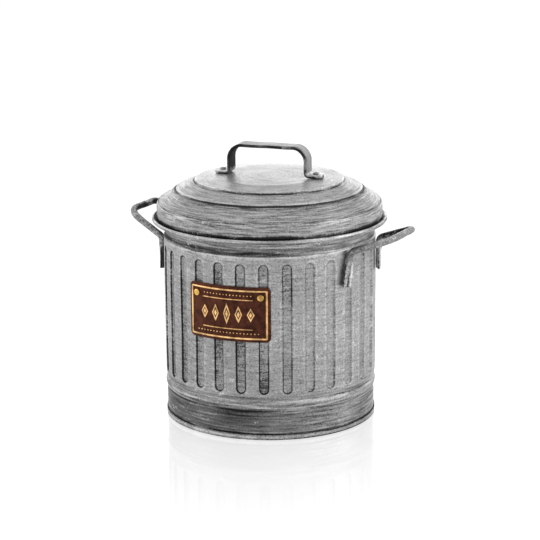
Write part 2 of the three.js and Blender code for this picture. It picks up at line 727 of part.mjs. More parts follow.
const RIVET_SIDES_OF_PLAQUE = [
  { name: 'plaque_rivet_left', side: -1 },
  { name: 'plaque_rivet_right', side: 1 },
];

function plaqueHoles() {
  const inside = BODY_RADIUS / 2;
  const outside = BODY_RADIUS + inside;
  return RIVET_SIDES_OF_PLAQUE.map(({ side }) => (
    onPlaqueRivet(bar(PLAQUE_RIVET.shank + CLEARANCE, inside, outside), side)
  ));
}

function plaque() {
  const outline = solidOf(throughPlaque(rectangle(PLAQUE_WIDTH, PLAQUE_HEIGHT, PLAQUE_CORNER)));
  const plate = wallSlice(PLAQUE_BACK, PLAQUE_FACE).intersect(outline);
  const relief = wallSlice(PLAQUE_FACE - PLAQUE_THICKNESS / 2, PLAQUE_FACE + PLAQUE_RELIEF);
  const raised = [frameShape(), ...ornamentShapes()]
    .map((shape) => relief.intersect(solidOf(throughPlaque(shape))));
  const whole = raised.reduce((sum, piece) => sum.add(piece), plate);
  return geometryFrom(cutFrom(whole, plaqueHoles()));
}

// ---------------------------------------------------------------- assembly

function mesh(name, geometry, finish) {
  const piece = new THREE.Mesh(geometry, new THREE.MeshStandardMaterial(finish));
  piece.name = name;
  return piece;
}

const wallWithHoles = geometryFrom(cutFrom(solidOf(bodyShell()), plaqueHoles()));
const FLUTE_FLOOR_INSIDE = BODY_RADIUS - FLUTE_DEPTH - SHEET;

const can = new THREE.Group();
can.add(
  mesh('body_shell', wallWithHoles, ZINC),
  mesh('rim_wire', rimWire(), DARK_ZINC),
  mesh('base_pan', basePan(), DARK_ZINC),
  mesh('side_handle_right', sideHandle(RIGHT_HANDLE), DARK_ZINC),
  mesh('side_handle_left', sideHandle(LEFT_HANDLE), DARK_ZINC),
  mesh('plaque', plaque(), BRONZE),
  ...RIVET_SIDES_OF_PLAQUE.map(({ name, side }) => (
    mesh(name, onPlaqueRivet(rivet(PLAQUE_RIVET, PLAQUE_FACE, FLUTE_FLOOR_INSIDE), side), BRASS)
  )),
);

const lid = new THREE.Group();
lid.rotation.z = radians(LID_TURN);
lid.add(
  mesh('lid_shell', lidShell(), ZINC),
  mesh('lid_handle', lidStrap(), DARK_ZINC),
  ...RIVET_PLACES.map(({ name, along }) => (
    mesh(
      name,
      rivet(LID_RIVET, LID_TOP + CLEARANCE + STRAP_THICKNESS, LID_TOP - LID_SHEET - CLEARANCE)
        .translate(along, 0, 0),
      DARK_ZINC,
    )
  )),
);

const bin = new THREE.Group();
bin.add(can, lid);

export default bin;
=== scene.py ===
"""Looks for a small galvanized bin: its fluted body, rod handles, plaque and lift-off lid.

Lengths in the classes are millimetres and become metres when a mesh is made. The frame is
the solid model's: +Z up from the floor, +X to the right handle, -Y to the front.
"""

import logging
import math
from dataclasses import dataclass, field
from enum import Enum
from typing import Any, Optional, Sequence, Union

import bpy
import numpy as np
from mathutils import Matrix, Vector, noise


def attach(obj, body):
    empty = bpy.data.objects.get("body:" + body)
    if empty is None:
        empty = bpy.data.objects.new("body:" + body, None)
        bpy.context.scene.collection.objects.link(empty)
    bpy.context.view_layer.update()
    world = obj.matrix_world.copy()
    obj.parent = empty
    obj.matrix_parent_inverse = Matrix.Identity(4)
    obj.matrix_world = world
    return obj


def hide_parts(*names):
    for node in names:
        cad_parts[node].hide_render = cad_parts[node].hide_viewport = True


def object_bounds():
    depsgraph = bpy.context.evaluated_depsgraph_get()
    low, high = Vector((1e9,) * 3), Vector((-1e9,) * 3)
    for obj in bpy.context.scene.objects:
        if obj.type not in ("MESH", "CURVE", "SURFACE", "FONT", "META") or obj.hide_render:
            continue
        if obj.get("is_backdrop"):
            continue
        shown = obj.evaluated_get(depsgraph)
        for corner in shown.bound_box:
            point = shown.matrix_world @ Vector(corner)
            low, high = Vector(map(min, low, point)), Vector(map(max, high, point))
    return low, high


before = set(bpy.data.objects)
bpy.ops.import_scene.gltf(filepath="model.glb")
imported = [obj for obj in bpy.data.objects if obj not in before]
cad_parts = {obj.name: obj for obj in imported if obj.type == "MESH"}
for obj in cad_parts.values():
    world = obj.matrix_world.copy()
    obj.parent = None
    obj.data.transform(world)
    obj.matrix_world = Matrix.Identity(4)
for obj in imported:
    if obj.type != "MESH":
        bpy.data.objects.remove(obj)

MM = 0.001
# Name of the mesh attribute with each vertex's painted shade and darkening, below 0 where it is
# painted lighter.
SHADE = "oxide_and_shade"
CAD_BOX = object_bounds()

log = logging.getLogger("bin")

Array = np.ndarray
Point = tuple[float, float]
Faces = list[tuple[int, ...]]
Piece = bpy.types.Object
Finish = bpy.types.Material
Tree = bpy.types.NodeTree
Socket = bpy.types.NodeSocket
Value = Union[float, Socket, tuple, None]
Shares = Union[float, Array]


# ------------------------------------------------------------------ colour and nodes


def linear(hex_colour: str) -> tuple[float, float, float, float]:
    """Turns an sRGB hex colour into a linear one.

    Args:
        hex_colour: Six hex digits, such as "9a9b9c".

    Returns:
        Linear red, green and blue, and an alpha of 1.
    """
    parts = [int(hex_colour[i : i + 2], 16) / 255 for i in (0, 2, 4)]
    low = [c / 12.92 if c <= 0.04045 else ((c + 0.055) / 1.055) ** 2.4 for c in parts]
    return (low[0], low[1], low[2], 1.0)


def add_node(
    tree: Tree, kind: str, inputs: Union[Sequence[Value], dict[str, Value]] = (), **settings: Any
) -> Optional[Socket]:
    """Adds a node with its settings, and links or fills its inputs.

    Args:
        tree: The node tree to add to.
        kind: The node's type name, without the word ShaderNode.
        inputs: What goes in, by socket name, or in the order of the sockets in use: a socket
            is linked, None is passed over, and anything else becomes the socket's value.
        settings: Properties of the node, by name.

    Returns:
        The node's first output in use, if it has any.
    """
    node = tree.nodes.new("ShaderNode" + kind)
    for name, value in settings.items():
        setattr(node, name, value)
    if isinstance(inputs, dict):
        filled = [(node.inputs[name], value) for name, value in inputs.items()]
    else:
        filled = list(zip([socket for socket in node.inputs if socket.enabled], inputs))
    for socket, value in filled:
        if isinstance(value, Socket):
            tree.links.new(value, socket)
        elif value is not None:
            socket.default_value = value
    return next((socket for socket in node.outputs if socket.enabled), None)


def new_material(name: str) -> tuple[Finish, Tree]:
    """Makes an empty node material.

    Args:
        name: The material's name.

    Returns:
        The material and its cleared node tree.
    """
    material = bpy.data.materials.new(name)
    material.use_nodes = True
    material.node_tree.nodes.clear()
    return material, material.node_tree


def add_metal(
    tree: Tree, colour: Socket, metallic: Value, roughness: Socket, relief: Socket, bump: Point
) -> None:
    """Adds a metal surface and the material's output.

    Args:
        tree: The material's tree.
        colour: The metal's colour.
        metallic: How far it shines as bare metal, up to 1.
        roughness: Its roughness.
        relief: The pattern that roughens it.
        bump: Strength of the relief, and its depth in millimetres.
    """
    sloped = add_node(
        tree, "Bump", {"Strength": bump[0], "Distance": bump[1] * MM, "Height": relief}
    )
    looks = {"Base Color": colour, "Metallic": metallic, "Roughness": roughness, "Normal": sloped}
    add_node(tree, "OutputMaterial", (add_node(tree, "BsdfPrincipled", looks),))


class BrushWay(Enum):
    """Which way the brush marks of a metal run."""

    ROUND_WALL = "round the axis, on an upright wall"
    ROUND_LID = "round the axis, on a wall or a top"
    LONG_X = "along the lid's strap"
    NONE = "no direction, only grain"


class Scale(Enum):
    """What the marks on a turned piece are placed by, in millimetres."""

    HEIGHT = "height above the floor"
    PROFILE = "height less radius, which grows from a lid's edge to its middle"
    ACROSS = "distance across the lid's strap, from its middle line"


@dataclass(frozen=True)
class Spot:
    """Where a point of the bin lies, as sockets in millimetres.

    Attributes:
        tree: The material's tree.
        where: The position.
        x: The position's x.
        y: The position's y.
        radius: Distance from the axis.
        scales: The place along each scale.
    """

    tree: Tree
    where: Socket
    x: Socket
    y: Socket
    radius: Socket
    scales: dict[Scale, Socket]

    @classmethod
    def add(cls, tree: Tree, strap_turn: float = 0.0) -> "Spot":
        """Adds the nodes that find the place.

        Args:
            tree: The material's tree.
            strap_turn: Turn of the lid's strap, in degrees.

        Returns:
            The place.
        """
        turn = math.radians(strap_turn)
        place = add_node(tree, "TexCoord").node.outputs["Object"]
        where = add_node(tree, "VectorMath", (place, 1 / MM), operation="SCALE")
        x, y, z = add_node(tree, "SeparateXYZ", (where,)).node.outputs
        flat = add_node(tree, "CombineXYZ", (x, y))
        radius = add_node(tree, "VectorMath", (flat,), operation="LENGTH")
        profile = add_node(tree, "Math", (z, radius), operation="SUBTRACT")
        part = add_node(tree, "Math", (x, -math.sin(turn)), operation="MULTIPLY")
        across = add_node(tree, "Math", (y, math.cos(turn), part), operation="MULTIPLY_ADD")
        scales = {Scale.HEIGHT: z, Scale.PROFILE: profile, Scale.ACROSS: across}
        return cls(tree, where, x, y, radius, scales)


@dataclass(frozen=True)
class Rings:
    """How much of a turned piece a mark covers, from place to place.

    Attributes:
        scale: What the places are measured along.
        stops: Places in millimetres, each with its coverage from 0 to 1.
    """

    scale: Scale
    stops: tuple[Point, ...]

    def add(self, spot: Spot) -> Socket:
        """Adds the nodes that look up the coverage.

        Args:
            spot: The place on the piece.

        Returns:
            The coverage.
        """
        low, high = self.stops[0][0], self.stops[-1][0]
        share = add_node(spot.tree, "MapRange", (spot.scales[self.scale], low, high))
        ramp = add_node(spot.tree, "ValToRGB", (share,))
        elements = ramp.node.color_ramp.elements
        elements.remove(elements[-1])
        for i, (at, amount) in enumerate(self.stops):
            part = (at - low) / (high - low)
            element = elements.new(part) if i else elements[0]
            element.position = part
            element.color = (amount, amount, amount, 1)
        return ramp


@dataclass(frozen=True)
class FluteField:
    """Where the flutes are, for the stain inside them and along their edges, and the painted
    highlight round them.

    Attributes:
        count: Number of flutes round the body.
        phase: Azimuth of one flute's middle, in degrees.
        radius: Radius of the wall.
        low: Height of the flutes' lower ends.
        high: Height of their upper ends.
        half_width: Half the width of a flute.
    """

    count: int
    phase: float
    radius: float
    low: float
    high: float
    half_width: float

    @property
    def pitch(self) -> float:
        """Distance between two flutes, along the wall."""
        return 2 * math.pi * self.radius / self.count

    @property
    def spine(self) -> Point:
        """Height of a flute's middle, and half the length of its straight part."""
        return (self.low + self.high) / 2, (self.high - self.low) / 2 - self.half_width

    def distance(self, across: Array, height: Array) -> Array:
        """Distance from the edge of a flute, negative inside it.

        Args:
            across: Distance from the flute's middle line, along the wall.
            height: Height above the floor.

        Returns:
            The distance, in millimetres.
        """
        middle, straight = self.spine
        beyond = np.maximum(np.abs(height - middle) - straight, 0)
        return np.hypot(across, beyond) - self.half_width

    def add(self, spot: Spot) -> tuple[Socket, Socket]:
        """Adds the nodes that work out the same distance in a material.

        Args:
            spot: The place on the wall.

        Returns:
            Distance from the edge of the nearest flute, in millimetres, and its number.
        """
        tree = spot.tree
        front = add_node(tree, "Math", (spot.y, -1.0), operation="MULTIPLY")
        angle = add_node(tree, "Math", (spot.x, front), operation="ARCTAN2")
        gear, start = self.count / (2 * math.pi), -self.phase * self.count / 360
        turn = add_node(tree, "Math", (angle, gear, start), operation="MULTIPLY_ADD")
        nearest = add_node(tree, "Math", (turn,), operation="ROUND")
        offset = add_node(tree, "Math", (turn, nearest), operation="SUBTRACT")
        across = add_node(tree, "Math", (offset, self.pitch), operation="MULTIPLY")
        middle, straight = self.spine
        level = add_node(tree, "Math", (spot.scales[Scale.HEIGHT], middle), operation="SUBTRACT")
        reach = add_node(tree, "Math", (level,), operation="ABSOLUTE")
        past = add_node(tree, "Math", (reach, straight), operation="SUBTRACT")
        beyond = add_node(tree, "Math", (past, 0.0), operation="MAXIMUM")
        flat = add_node(tree, "CombineXYZ", (across, beyond))
        length = add_node(tree, "VectorMath", (flat,), operation="LENGTH")
        edge = add_node(tree, "Math", (length, self.half_width), operation="SUBTRACT")
        return edge, nearest


# ------------------------------------------------------------------ finishes


@dataclass
class Patterns:
    """The patterns that a zinc finish is made from.

    Attributes:
        streak: Short brush marks, 0.5 on average.
        grain: Fine grain, 0.5 on average.
        cloud: Wide patches, 0.5 on average.
        sweep: Long polishing sweeps, 0 on average and 0 where there are none.
        grit: What makes the edges of marks ragged, 0.5 on average.
        scuff: Thin crossing scratches in patches, 0 or above.
        stain: Share of the stain that is left, 1 on the left side of the object and less to
        the right, which is painted lighter as if lit from there.
    """

    streak: Socket
    grain: Socket
    cloud: Socket
    sweep: Value
    grit: Socket
    scuff: Value
    stain: Value


@dataclass(frozen=True)
class BrushedZinc:
    """Hot-dip galvanized steel, brushed and then darkened so that oxide stays in the lows.

    To the eye it is a soft grey metal with fine brush marks and grain, small bright scuffs
    where it is rubbed, and nearly black grooves with ragged edges. Its dark marks also carry
    painted shade, and its bright marks carry painted highlights.

    Attributes:
        name: The material's name.
        clean: Colour of the brushed zinc.
        oxide_and_shade: Colour of the dark oxide, which the painted shade takes too.
        bright: Colour of zinc that is rubbed bare, which the painted highlights take too.
        brush: Which way the brush marks run.
        dark_rings: Oxide in turned grooves, and painted shade in gaps and under beads, rolls and
            hems.
        bright_rings: Bright bands, chiefly painted highlights along edges and rolls.
        film_and_shade_rings: Thin even oxide and painted shade, as the share by which it
        darkens the zinc.
        sweep_rings: Where long polishing sweeps show, from 0 to 1.
        flutes: Where flutes hold oxide, inside and along their edges, with a painted highlight
        round them.
        dark_cover: Oxide everywhere, as coverage from 0 to 1.
        bright_cover: Scuffs everywhere, as coverage from 0 to 1.
        roughness: Roughness of the brushed zinc.
        streak_mm: Spacing of the brush marks. Real ones are about 0.1 mm apart, which is
            too fine to show, so they are drawn as coarse as here.
        streak_run: Length of a brush mark over its spacing.
        grain_mm: Width of the grain. The real spangle's pits are finer, and are drawn
            coarser so that they show.
        cloud_mm: Width of the cloudy patches.
        streak_depth: How far the brush marks lighten and darken the zinc, as a share.
        grain_depth: The same for the grain.
        cloud_depth: The same for the clouds.
        sweep_mm: Spacing of the polishing sweeps, drawn coarser than the real 0.2 mm too.
        sweep_run: Length of a sweep over its spacing.
        sweep_depth: How far the sweeps lighten and darken the zinc, as a share.
        grit_mix: Weights of the streaks, the grain and the patches in the grit.
        flute_floor: Least and most coverage of oxide on the floor of a flute.
        flute_lines: The dark line of oxide in a flute's edge and the painted highlight round
        it: how far outside the edge, half the width, and the coverage.
        scuffs: Coverage of the thin crossing scratches.
        scuff_cell: Cells of the scratches in a millimetre.
        scuff_bend: How far the scratches bend, in millimetres.
        shaded: Whether the mesh carries its own painted shade and darkening, as the point
        attribute SHADE, which is below 0 where it is painted lighter.
        lit_right_stain: Share of stain left on the right, painted lighter as if lit from there.
        right_side: The object's x where that starts and where it is reached.
        metallic: How far it shines as bare metal.
        strap_turn: Turn of the strap, in degrees, for brush marks that run along it.
    """

    name: str
    clean: str = "a0a0a0"
    oxide_and_shade: str = "1c1c1c"
    bright: str = "dcdcdc"
    brush: BrushWay = BrushWay.ROUND_WALL
    dark_rings: Optional[Rings] = None
    bright_rings: Optional[Rings] = None
    film_and_shade_rings: Optional[Rings] = None
    sweep_rings: Optional[Rings] = None
    flutes: Optional[FluteField] = None
    dark_cover: float = 0.02
    bright_cover: float = 0.05
    roughness: float = 0.4
    streak_mm: float = 0.7
    streak_run: float = 7.0
    grain_mm: float = 0.7
    cloud_mm: float = 26.0
    streak_depth: float = 0.09
    grain_depth: float = 0.09
    cloud_depth: float = 0.05
    sweep_mm: float = 1.1
    sweep_run: float = 36.0
    sweep_depth: float = 0.22
    grit_mix: tuple[float, float, float] = (0.8, 0.9, 0.3)
    flute_floor: Point = (0.3, 0.52)
    flute_lines: tuple[tuple[float, ...], ...] = ((-0.35, 0.85, 1.0), (1.4, 1.0, 0.42))
    scuffs: float = 0.0
    scuff_cell: float = 0.24
    scuff_bend: float = 9.0
    shaded: bool = False
    lit_right_stain: float = 1.0
    right_side: Point = (12.0, 66.0)
    metallic: float = 0.9
    strap_turn: float = 0.0

    def build(self) -> Finish:
        """Makes the material.

        Returns:
            The finished material.
        """
        material, tree = new_material(self.name)
        spot = Spot.add(tree, self.strap_turn)
        made = self._patterns(spot)
        covers = self._covers(spot, made)
        dark = self._marks(tree, covers[0], made.grit, 1.0, 0.4)
        bright = self._marks(tree, covers[1], made.grit, -1.0, 0.15)
        colour = self._colour(spot, made, dark, bright)
        # The dark marks, oxide and painted shade alike, are duller than the zinc, and the brush
        # marks break up the shine.
        dull = min(self.roughness + 0.25, 1)
        rough = add_node(tree, "MapRange", (dark, 0, 1, self.roughness, dull))
        uneven = add_node(tree, "Math", (made.streak, 0.16, rough), operation="MULTIPLY_ADD")
        add_metal(tree, colour, self.metallic, uneven, made.grit, (0.5, 0.08))
        return material

    def _along_brush(self, spot: Spot, spacing: float, run: float) -> Socket:
        """Adds a position that is stretched along the brush marks.

        Args:
            spot: The place on the piece.
            spacing: Spacing of the marks, in millimetres.
            run: Length of a mark over its spacing.

        Returns:
            The position, in marks.
        """
        fast = 0.5 / spacing
        slow = fast / run
        x, y, z = spot.x, spot.y, spot.scales[Scale.HEIGHT]
        parts = {
            BrushWay.NONE: ((x, fast), (y, fast), (z, fast)),
            BrushWay.LONG_X: ((x, slow), (spot.scales[Scale.ACROSS], fast), (z, slow)),
            BrushWay.ROUND_LID: ((x, slow), (y, slow), (spot.scales[Scale.PROFILE], fast)),
            BrushWay.ROUND_WALL: ((x, slow), (y, slow), (z, fast)),
        }[self.brush]
        scaled = [add_node(spot.tree, "Math", part, operation="MULTIPLY") for part in parts]
        return add_node(spot.tree, "CombineXYZ", scaled)

    def _patterns(self, spot: Spot) -> Patterns:
        """Adds the noise patterns.

        Args:
            spot: The place on the piece.

        Returns:
            The patterns, and the grit that they make together.
        """
        tree = spot.tree
        brushed = self._along_brush(spot, self.streak_mm, self.streak_run)
        swept = self._along_brush(spot, self.sweep_mm, self.sweep_run)
        # Each is a position, the noise's scale, its detail and its roughness.
        table = (
            (brushed, 1.0, 4.0, 0.6),
            (spot.where, 0.5 / self.grain_mm, 2.0, 0.6),
            (spot.where, 2.5 / self.cloud_mm, 4.0, 0.65),
            (spot.where, 0.5 / self.cloud_mm, 3.0, 0.5),
            (swept, 1.0, 3.0, 0.65),
        )
        streak, grain, patch, cloud, sweep = (add_node(tree, "TexNoise", row) for row in table)
        grit: Value = 0.5 * (1 - sum(self.grit_mix))
        for pattern, weight in zip((streak, grain, patch), self.grit_mix):
            grit = add_node(tree, "Math", (pattern, weight, grit), operation="MULTIPLY_ADD")
        long: Value = 0.0
        if self.sweep_rings:
            share = self.sweep_rings.add(spot)
            centred = add_node(tree, "Math", (sweep, 0.5), operation="SUBTRACT")
            long = add_node(tree, "Math", (centred, share), operation="MULTIPLY")
            # Where there are sweeps, the marks are ragged along them.
            lined: Value = 0.325
            for pattern, weight in ((centred, 1.3), (grain, 0.35)):
                lined = add_node(tree, "Math", (pattern, weight, lined), operation="MULTIPLY_ADD")
            grit = add_node(tree, "Mix", (share, grit, lined), data_type="FLOAT")
        scuff = self._scuffs(spot, patch) if self.scuffs else 0.0
        # The stain thins towards the right, so that side is painted lighter as if lit from there.
        stain: Value = 1.0
        if self.lit_right_stain < 1:
            side = (spot.x, *self.right_side, 1.0, self.lit_right_stain)
            stain = add_node(tree, "MapRange", side)
        return Patterns(streak, grain, cloud, long, grit, scuff, stain)

    def _scuffs(self, spot: Spot, patch: Socket) -> Socket:
        """Adds thin scratches that cross each other, in patches.

        Args:
            spot: The place on the piece.
            patch: The patches.

        Returns:
            The coverage of the scratches.
        """
        tree = spot.tree
        smooth = {"interpolation_type": "SMOOTHSTEP"}
        bend = (self.scuff_bend,) * 3
        bent = add_node(tree, "TexNoise", (spot.where, 0.3, 3.0)).node.outputs["Color"]
        moved = add_node(tree, "VectorMath", (bent, bend, spot.where), operation="MULTIPLY_ADD")
        cells = add_node(tree, "TexVoronoi", (moved, self.scuff_cell), feature="DISTANCE_TO_EDGE")
        line = add_node(tree, "MapRange", (cells, 0.12, 0.02, 0.0, self.scuffs), **smooth)
        among = add_node(tree, "MapRange", (patch, 0.6, 0.68), **smooth)
        return add_node(tree, "Math", (line, among), operation="MULTIPLY")

    def _covers(self, spot: Spot, made: Patterns) -> list[Socket]:
        """Adds the coverage of oxide and painted shade, and of rubbed zinc and painted highlights.

        Args:
            spot: The place on the piece.
            made: The noise patterns.

        Returns:
            Both coverages.
        """
        tree = spot.tree
        covers: list[Value] = [self.dark_cover, self.bright_cover]
        for i, rings in enumerate((self.dark_rings, self.bright_rings)):
            if rings:
                covers[i] = add_node(tree, "Math", (rings.add(spot), covers[i]), operation="ADD")
        more: list[tuple[int, Value]] = []
        # The mesh's own painted shade darkens, and where it is below 0 it paints the zinc lighter.
        if self.shaded:
            own = add_node(tree, "Attribute", attribute_name=SHADE).node.outputs["Fac"]
            lightened = add_node(tree, "Math", (own, -1.0), operation="MULTIPLY")
            more += [(0, own), (1, add_node(tree, "Math", (lightened, 0.0), operation="MAXIMUM"))]
        for i, cover in more + [(1, made.scuff)]:
            covers[i] = add_node(tree, "Math", (cover, covers[i]), operation="ADD")
        if self.flutes:
            self._add_flutes(spot, covers)
        # Thinner dark marks on the right paint that side lighter, as if lit from there.
        covers[0] = add_node(tree, "Math", (covers[0], made.stain), operation="MULTIPLY")
        # The clouds thin one mark where they thicken the other.
        for i, way in enumerate((0.45, -0.45)):
            cloudy = add_node(tree, "MapRange", (made.cloud, 0.36, 0.64, 1 - way, 1 + way))
            covers[i] = add_node(tree, "Math", (covers[i], cloudy), operation="MULTIPLY")
        return covers

    def _add_flutes(self, spot: Spot, covers: list[Value]) -> None:
        """Adds a flute's dark outline and floor, and the painted highlight round it.

        Args:
            spot: The place on the wall.
            covers: Coverage of the dark marks and of the bright ones so far, which is changed.
        """
        tree = spot.tree
        smooth = {"interpolation_type": "SMOOTHSTEP"}
        edge, number = self.flutes.add(spot)
        own = add_node(tree, "TexWhiteNoise", (number,), noise_dimensions="1D")
        depth = add_node(tree, "MapRange", (own, 0, 1, *self.flute_floor))
        floor = add_node(tree, "MapRange", (edge, 0.0, -1.0, 0.0, depth), **smooth)
        marks = [(0, floor)]
        # The first line is oxide in the flute's edge; the second is a painted highlight on the
        # rounded land round it.
        for i, (middle, half, top) in enumerate(self.flute_lines):
            off = add_node(tree, "Math", (edge, middle), operation="SUBTRACT")
            near = add_node(tree, "Math", (off,), operation="ABSOLUTE")
            marks.append((i, add_node(tree, "MapRange", (near, half, 0.1, 0.0, top), **smooth)))
        for i, mark in marks:
            covers[i] = add_node(tree, "Math", (mark, covers[i]), operation="MAXIMUM")

    def _marks(
        self, tree: Tree, cover: Socket, grit: Socket, sense: float, soft: float
    ) -> Socket:
        """Adds marks with ragged edges, from their coverage and the grit.

        Args:
            tree: The material's tree.
            cover: The coverage, from 0 to 1.
            grit: The grit.
            sense: 1 for marks that take the high grit, -1 for the low.
            soft: Share of an even film under the ragged marks, where they cover all.

        Returns:
            The share of the mark at each place.
        """
        raggedness, most = 1.7 * sense, 0.94
        centred = add_node(tree, "Math", (grit, 0.5), operation="SUBTRACT")
        ragged = add_node(tree, "Math", (centred, raggedness, cover), operation="MULTIPLY_ADD")
        share = add_node(tree, "MapRange", (ragged, 0.3, 0.72), interpolation_type="SMOOTHSTEP")
        # Where little is covered, the marks are thin as well as few.
        strength = add_node(tree, "Math", (cover, 0.6, 0.16), operation="MULTIPLY_ADD")
        film = add_node(tree, "Math", (cover, soft), operation="MULTIPLY")
        whole = add_node(tree, "Math", (share, strength, film), operation="MULTIPLY_ADD")
        return add_node(tree, "Math", (whole, most), operation="MINIMUM")

    def _colour(self, spot: Spot, made: Patterns, dark: Socket, bright: Socket) -> Socket:
        """Adds the colour: patterned zinc, with the bright and the dark marks over it. The bright
        marks are rubbed zinc and painted highlights, the dark ones oxide and painted shade.

        Args:
            spot: The place on the piece.
            made: The noise patterns.
            dark: Share of oxide and painted shade.
            bright: Share of rubbed zinc and painted highlights.

        Returns:
            The colour.
        """
        tree = spot.tree
        patterns = [
            (made.streak, self.streak_depth),
            (made.grain, self.grain_depth),
            (made.cloud, self.cloud_depth),
        ]
        # A noise pattern lies within about 0.1 of its mean, so ten times its depth is taken.
        factor: Value = 1 + 5 * sum(depth for _, depth in patterns)
        for pattern, depth in patterns + [(made.sweep, self.sweep_depth)]:
            factor = add_node(tree, "Math", (pattern, -10 * depth, factor), operation="MULTIPLY_ADD")
        # The film of oxide and painted shade thins on the right as well.
        if self.film_and_shade_rings:
            rings = self.film_and_shade_rings.add(spot)
            film = add_node(tree, "Math", (rings, made.stain), operation="MULTIPLY")
            left = add_node(tree, "Math", (1.0, film), operation="SUBTRACT")
            factor = add_node(tree, "Math", (factor, left), operation="MULTIPLY")
        zinc = add_node(tree, "VectorMath", (linear(self.clean)[:3], factor), operation="SCALE")
        for share, over in ((bright, self.bright), (dark, self.oxide_and_shade)):
            zinc = add_node(tree, "Mix", (share, zinc, linear(over)), data_type="RGBA")
        return zinc


@dataclass(frozen=True)
class AntiqueBrass:
    """Cast brass, darkened brown all over and rubbed bright on what stands up.

    To the eye it is a warm gold that turns to dark brown in the ground and along low edges.
    It carries a painted shadow at the foot of what stands up, a painted highlight along the
    crests, and a left side painted lighter.

    Attributes:
        name: The material's name.
        low: Distance from the bin's axis up to which it is all brown.
        high: Distance from the axis at which it is all bright.
        bright: Colour of the rubbed brass on the crests, which is a painted highlight too.
        bronze: Colour of the shoulders, where the brass is half rubbed and the painted highlight
            fades.
        brown: Colour of the darkened ground.
        black: Colour of the painted shadow at the foot of what stands up.
        roughness: Roughness of the rubbed brass.
        dull: Roughness of the ground.
        left_highlight: How much lighter the left side is painted, as a highlight, per millimetre.
        pit_mm: Depth of the casting's pits, as a shift of the rubbed and highlighted share.
    """

    name: str
    low: float
    high: float
    bright: str = "e8bd84"
    bronze: str = "a9682f"
    brown: str = "4e2a1d"
    black: str = "170b08"
    roughness: float = 0.34
    dull: float = 0.55
    left_highlight: float = 0.0022
    pit_mm: float = 0.3

    def build(self) -> Finish:
        """Makes the material.

        Returns:
            The finished material.
        """
        material, tree = new_material(self.name)
        smooth = {"interpolation_type": "SMOOTHSTEP"}
        spot = Spot.add(tree)
        cloud = add_node(tree, "TexNoise", (spot.where, 0.16, 4.0, 0.6))
        pits = add_node(tree, "TexNoise", (spot.where, 1.5, 3.0, 0.6))
        # What stands further from the axis is rubbed more and has a painted highlight along its
        # crests, and the pits make that ragged.
        half = self.pit_mm / 2
        stands = add_node(tree, "Math", (pits, self.pit_mm, spot.radius), operation="MULTIPLY_ADD")
        worn_and_lit = add_node(tree, "MapRange", (stands, self.low + half, self.high + half), **smooth)
        # The left side is painted lighter than the right, as a painted highlight, and the clouds
        # vary the tone at random.
        leaning = add_node(tree, "Math", (spot.x, self.left_highlight, cloud), operation="MULTIPLY_ADD")
        tone_and_left_light = add_node(tree, "MapRange", (leaning, 0.36, 0.66, 1.45, 0.5))
        # Painted shadow: nearly black at the foot of what stands up.
        foot = add_node(tree, "MapRange", (worn_and_lit, 0.0, 0.2, 0.0, 0.75))
        ground = (foot, linear(self.brown), linear(self.black))
        mixed = add_node(tree, "Mix", ground, data_type="RGBA")
        for over, start, end in ((self.bronze, 0.25, 0.5), (self.bright, 0.55, 0.95)):
            part = add_node(tree, "MapRange", (worn_and_lit, start, end), **smooth)
            mixed = add_node(tree, "Mix", (part, mixed, linear(over)), data_type="RGBA")
        colour = add_node(tree, "VectorMath", (mixed, tone_and_left_light), operation="SCALE")
        rough = add_node(tree, "MapRange", (worn_and_lit, 0, 1, self.dull, self.roughness))
        metal = add_node(tree, "MapRange", (worn_and_lit, 0, 1, 0.85, 1.0))
        add_metal(tree, colour, metal, rough, pits, (0.4, 0.06))
        return material


# ------------------------------------------------------------------ mesh making


@dataclass(frozen=True)
class Corner:
    """A corner of a profile and the radius that rounds it, in millimetres."""

    r: float
    z: float
    fillet: float = 0.0


def round_corner(
    before: Array,
    here: Array,
    after: Array,
    radius: float,
    step_degrees: float = 14.0,
    steps: int = 0,
) -> list[Array]:
    """Rounds one corner of a line.

    Args:
        before: The point before the corner.
        here: The corner.
        after: The point after it.
        radius: The radius wanted, which is less where a side is too short for it.
        step_degrees: Turn between two points of the rounding.
        steps: Number of steps in it, where that is fixed.

    Returns:
        The points in order, or only the corner where the line is straight.
    """
    straight, most_of_side = math.radians(89.5), 0.49
    before, after = before - here, after - here
    reach = min(np.linalg.norm(before), np.linalg.norm(after))
    before, after = before / np.linalg.norm(before), after / np.linalg.norm(after)
    half = math.acos(float(np.clip(before @ after, -1, 1))) / 2
    if radius <= 0 or half > straight:
        return [here]
    run = min(radius / math.tan(half), most_of_side * reach)
    middle = (before + after) / np.linalg.norm(before + after)
    centre = here + middle * run * math.tan(half) / math.sin(half)
    first, last = here + before * run - centre, here + after * run - centre
    sweep = math.pi - 2 * half
    steps = steps or max(2, math.ceil(math.degrees(sweep) / step_degrees))
    made = []
    for k in range(steps + 1):
        part = sweep * k / steps
        weights = math.sin(sweep - part) / math.sin(sweep), math.sin(part) / math.sin(sweep)
        made.append(centre + first * weights[0] + last * weights[1])
    return made


def rounded(corners: Sequence[Corner], step_degrees: float = 14.0) -> Array:
    """Rounds the corners of a profile.

    Args:
        corners: The corners in order.
        step_degrees: Turn between two points of a rounding.

    Returns:
        Points as an array of radius and height.
    """
    line = np.array([[corner.r, corner.z] for corner in corners], dtype=float)
    made = [line[0]]
    for i, corner in enumerate(corners[1:-1], start=1):
        made += round_corner(*line[i - 1 : i + 2], corner.fillet, step_degrees)
    return np.array(made + [line[-1]])


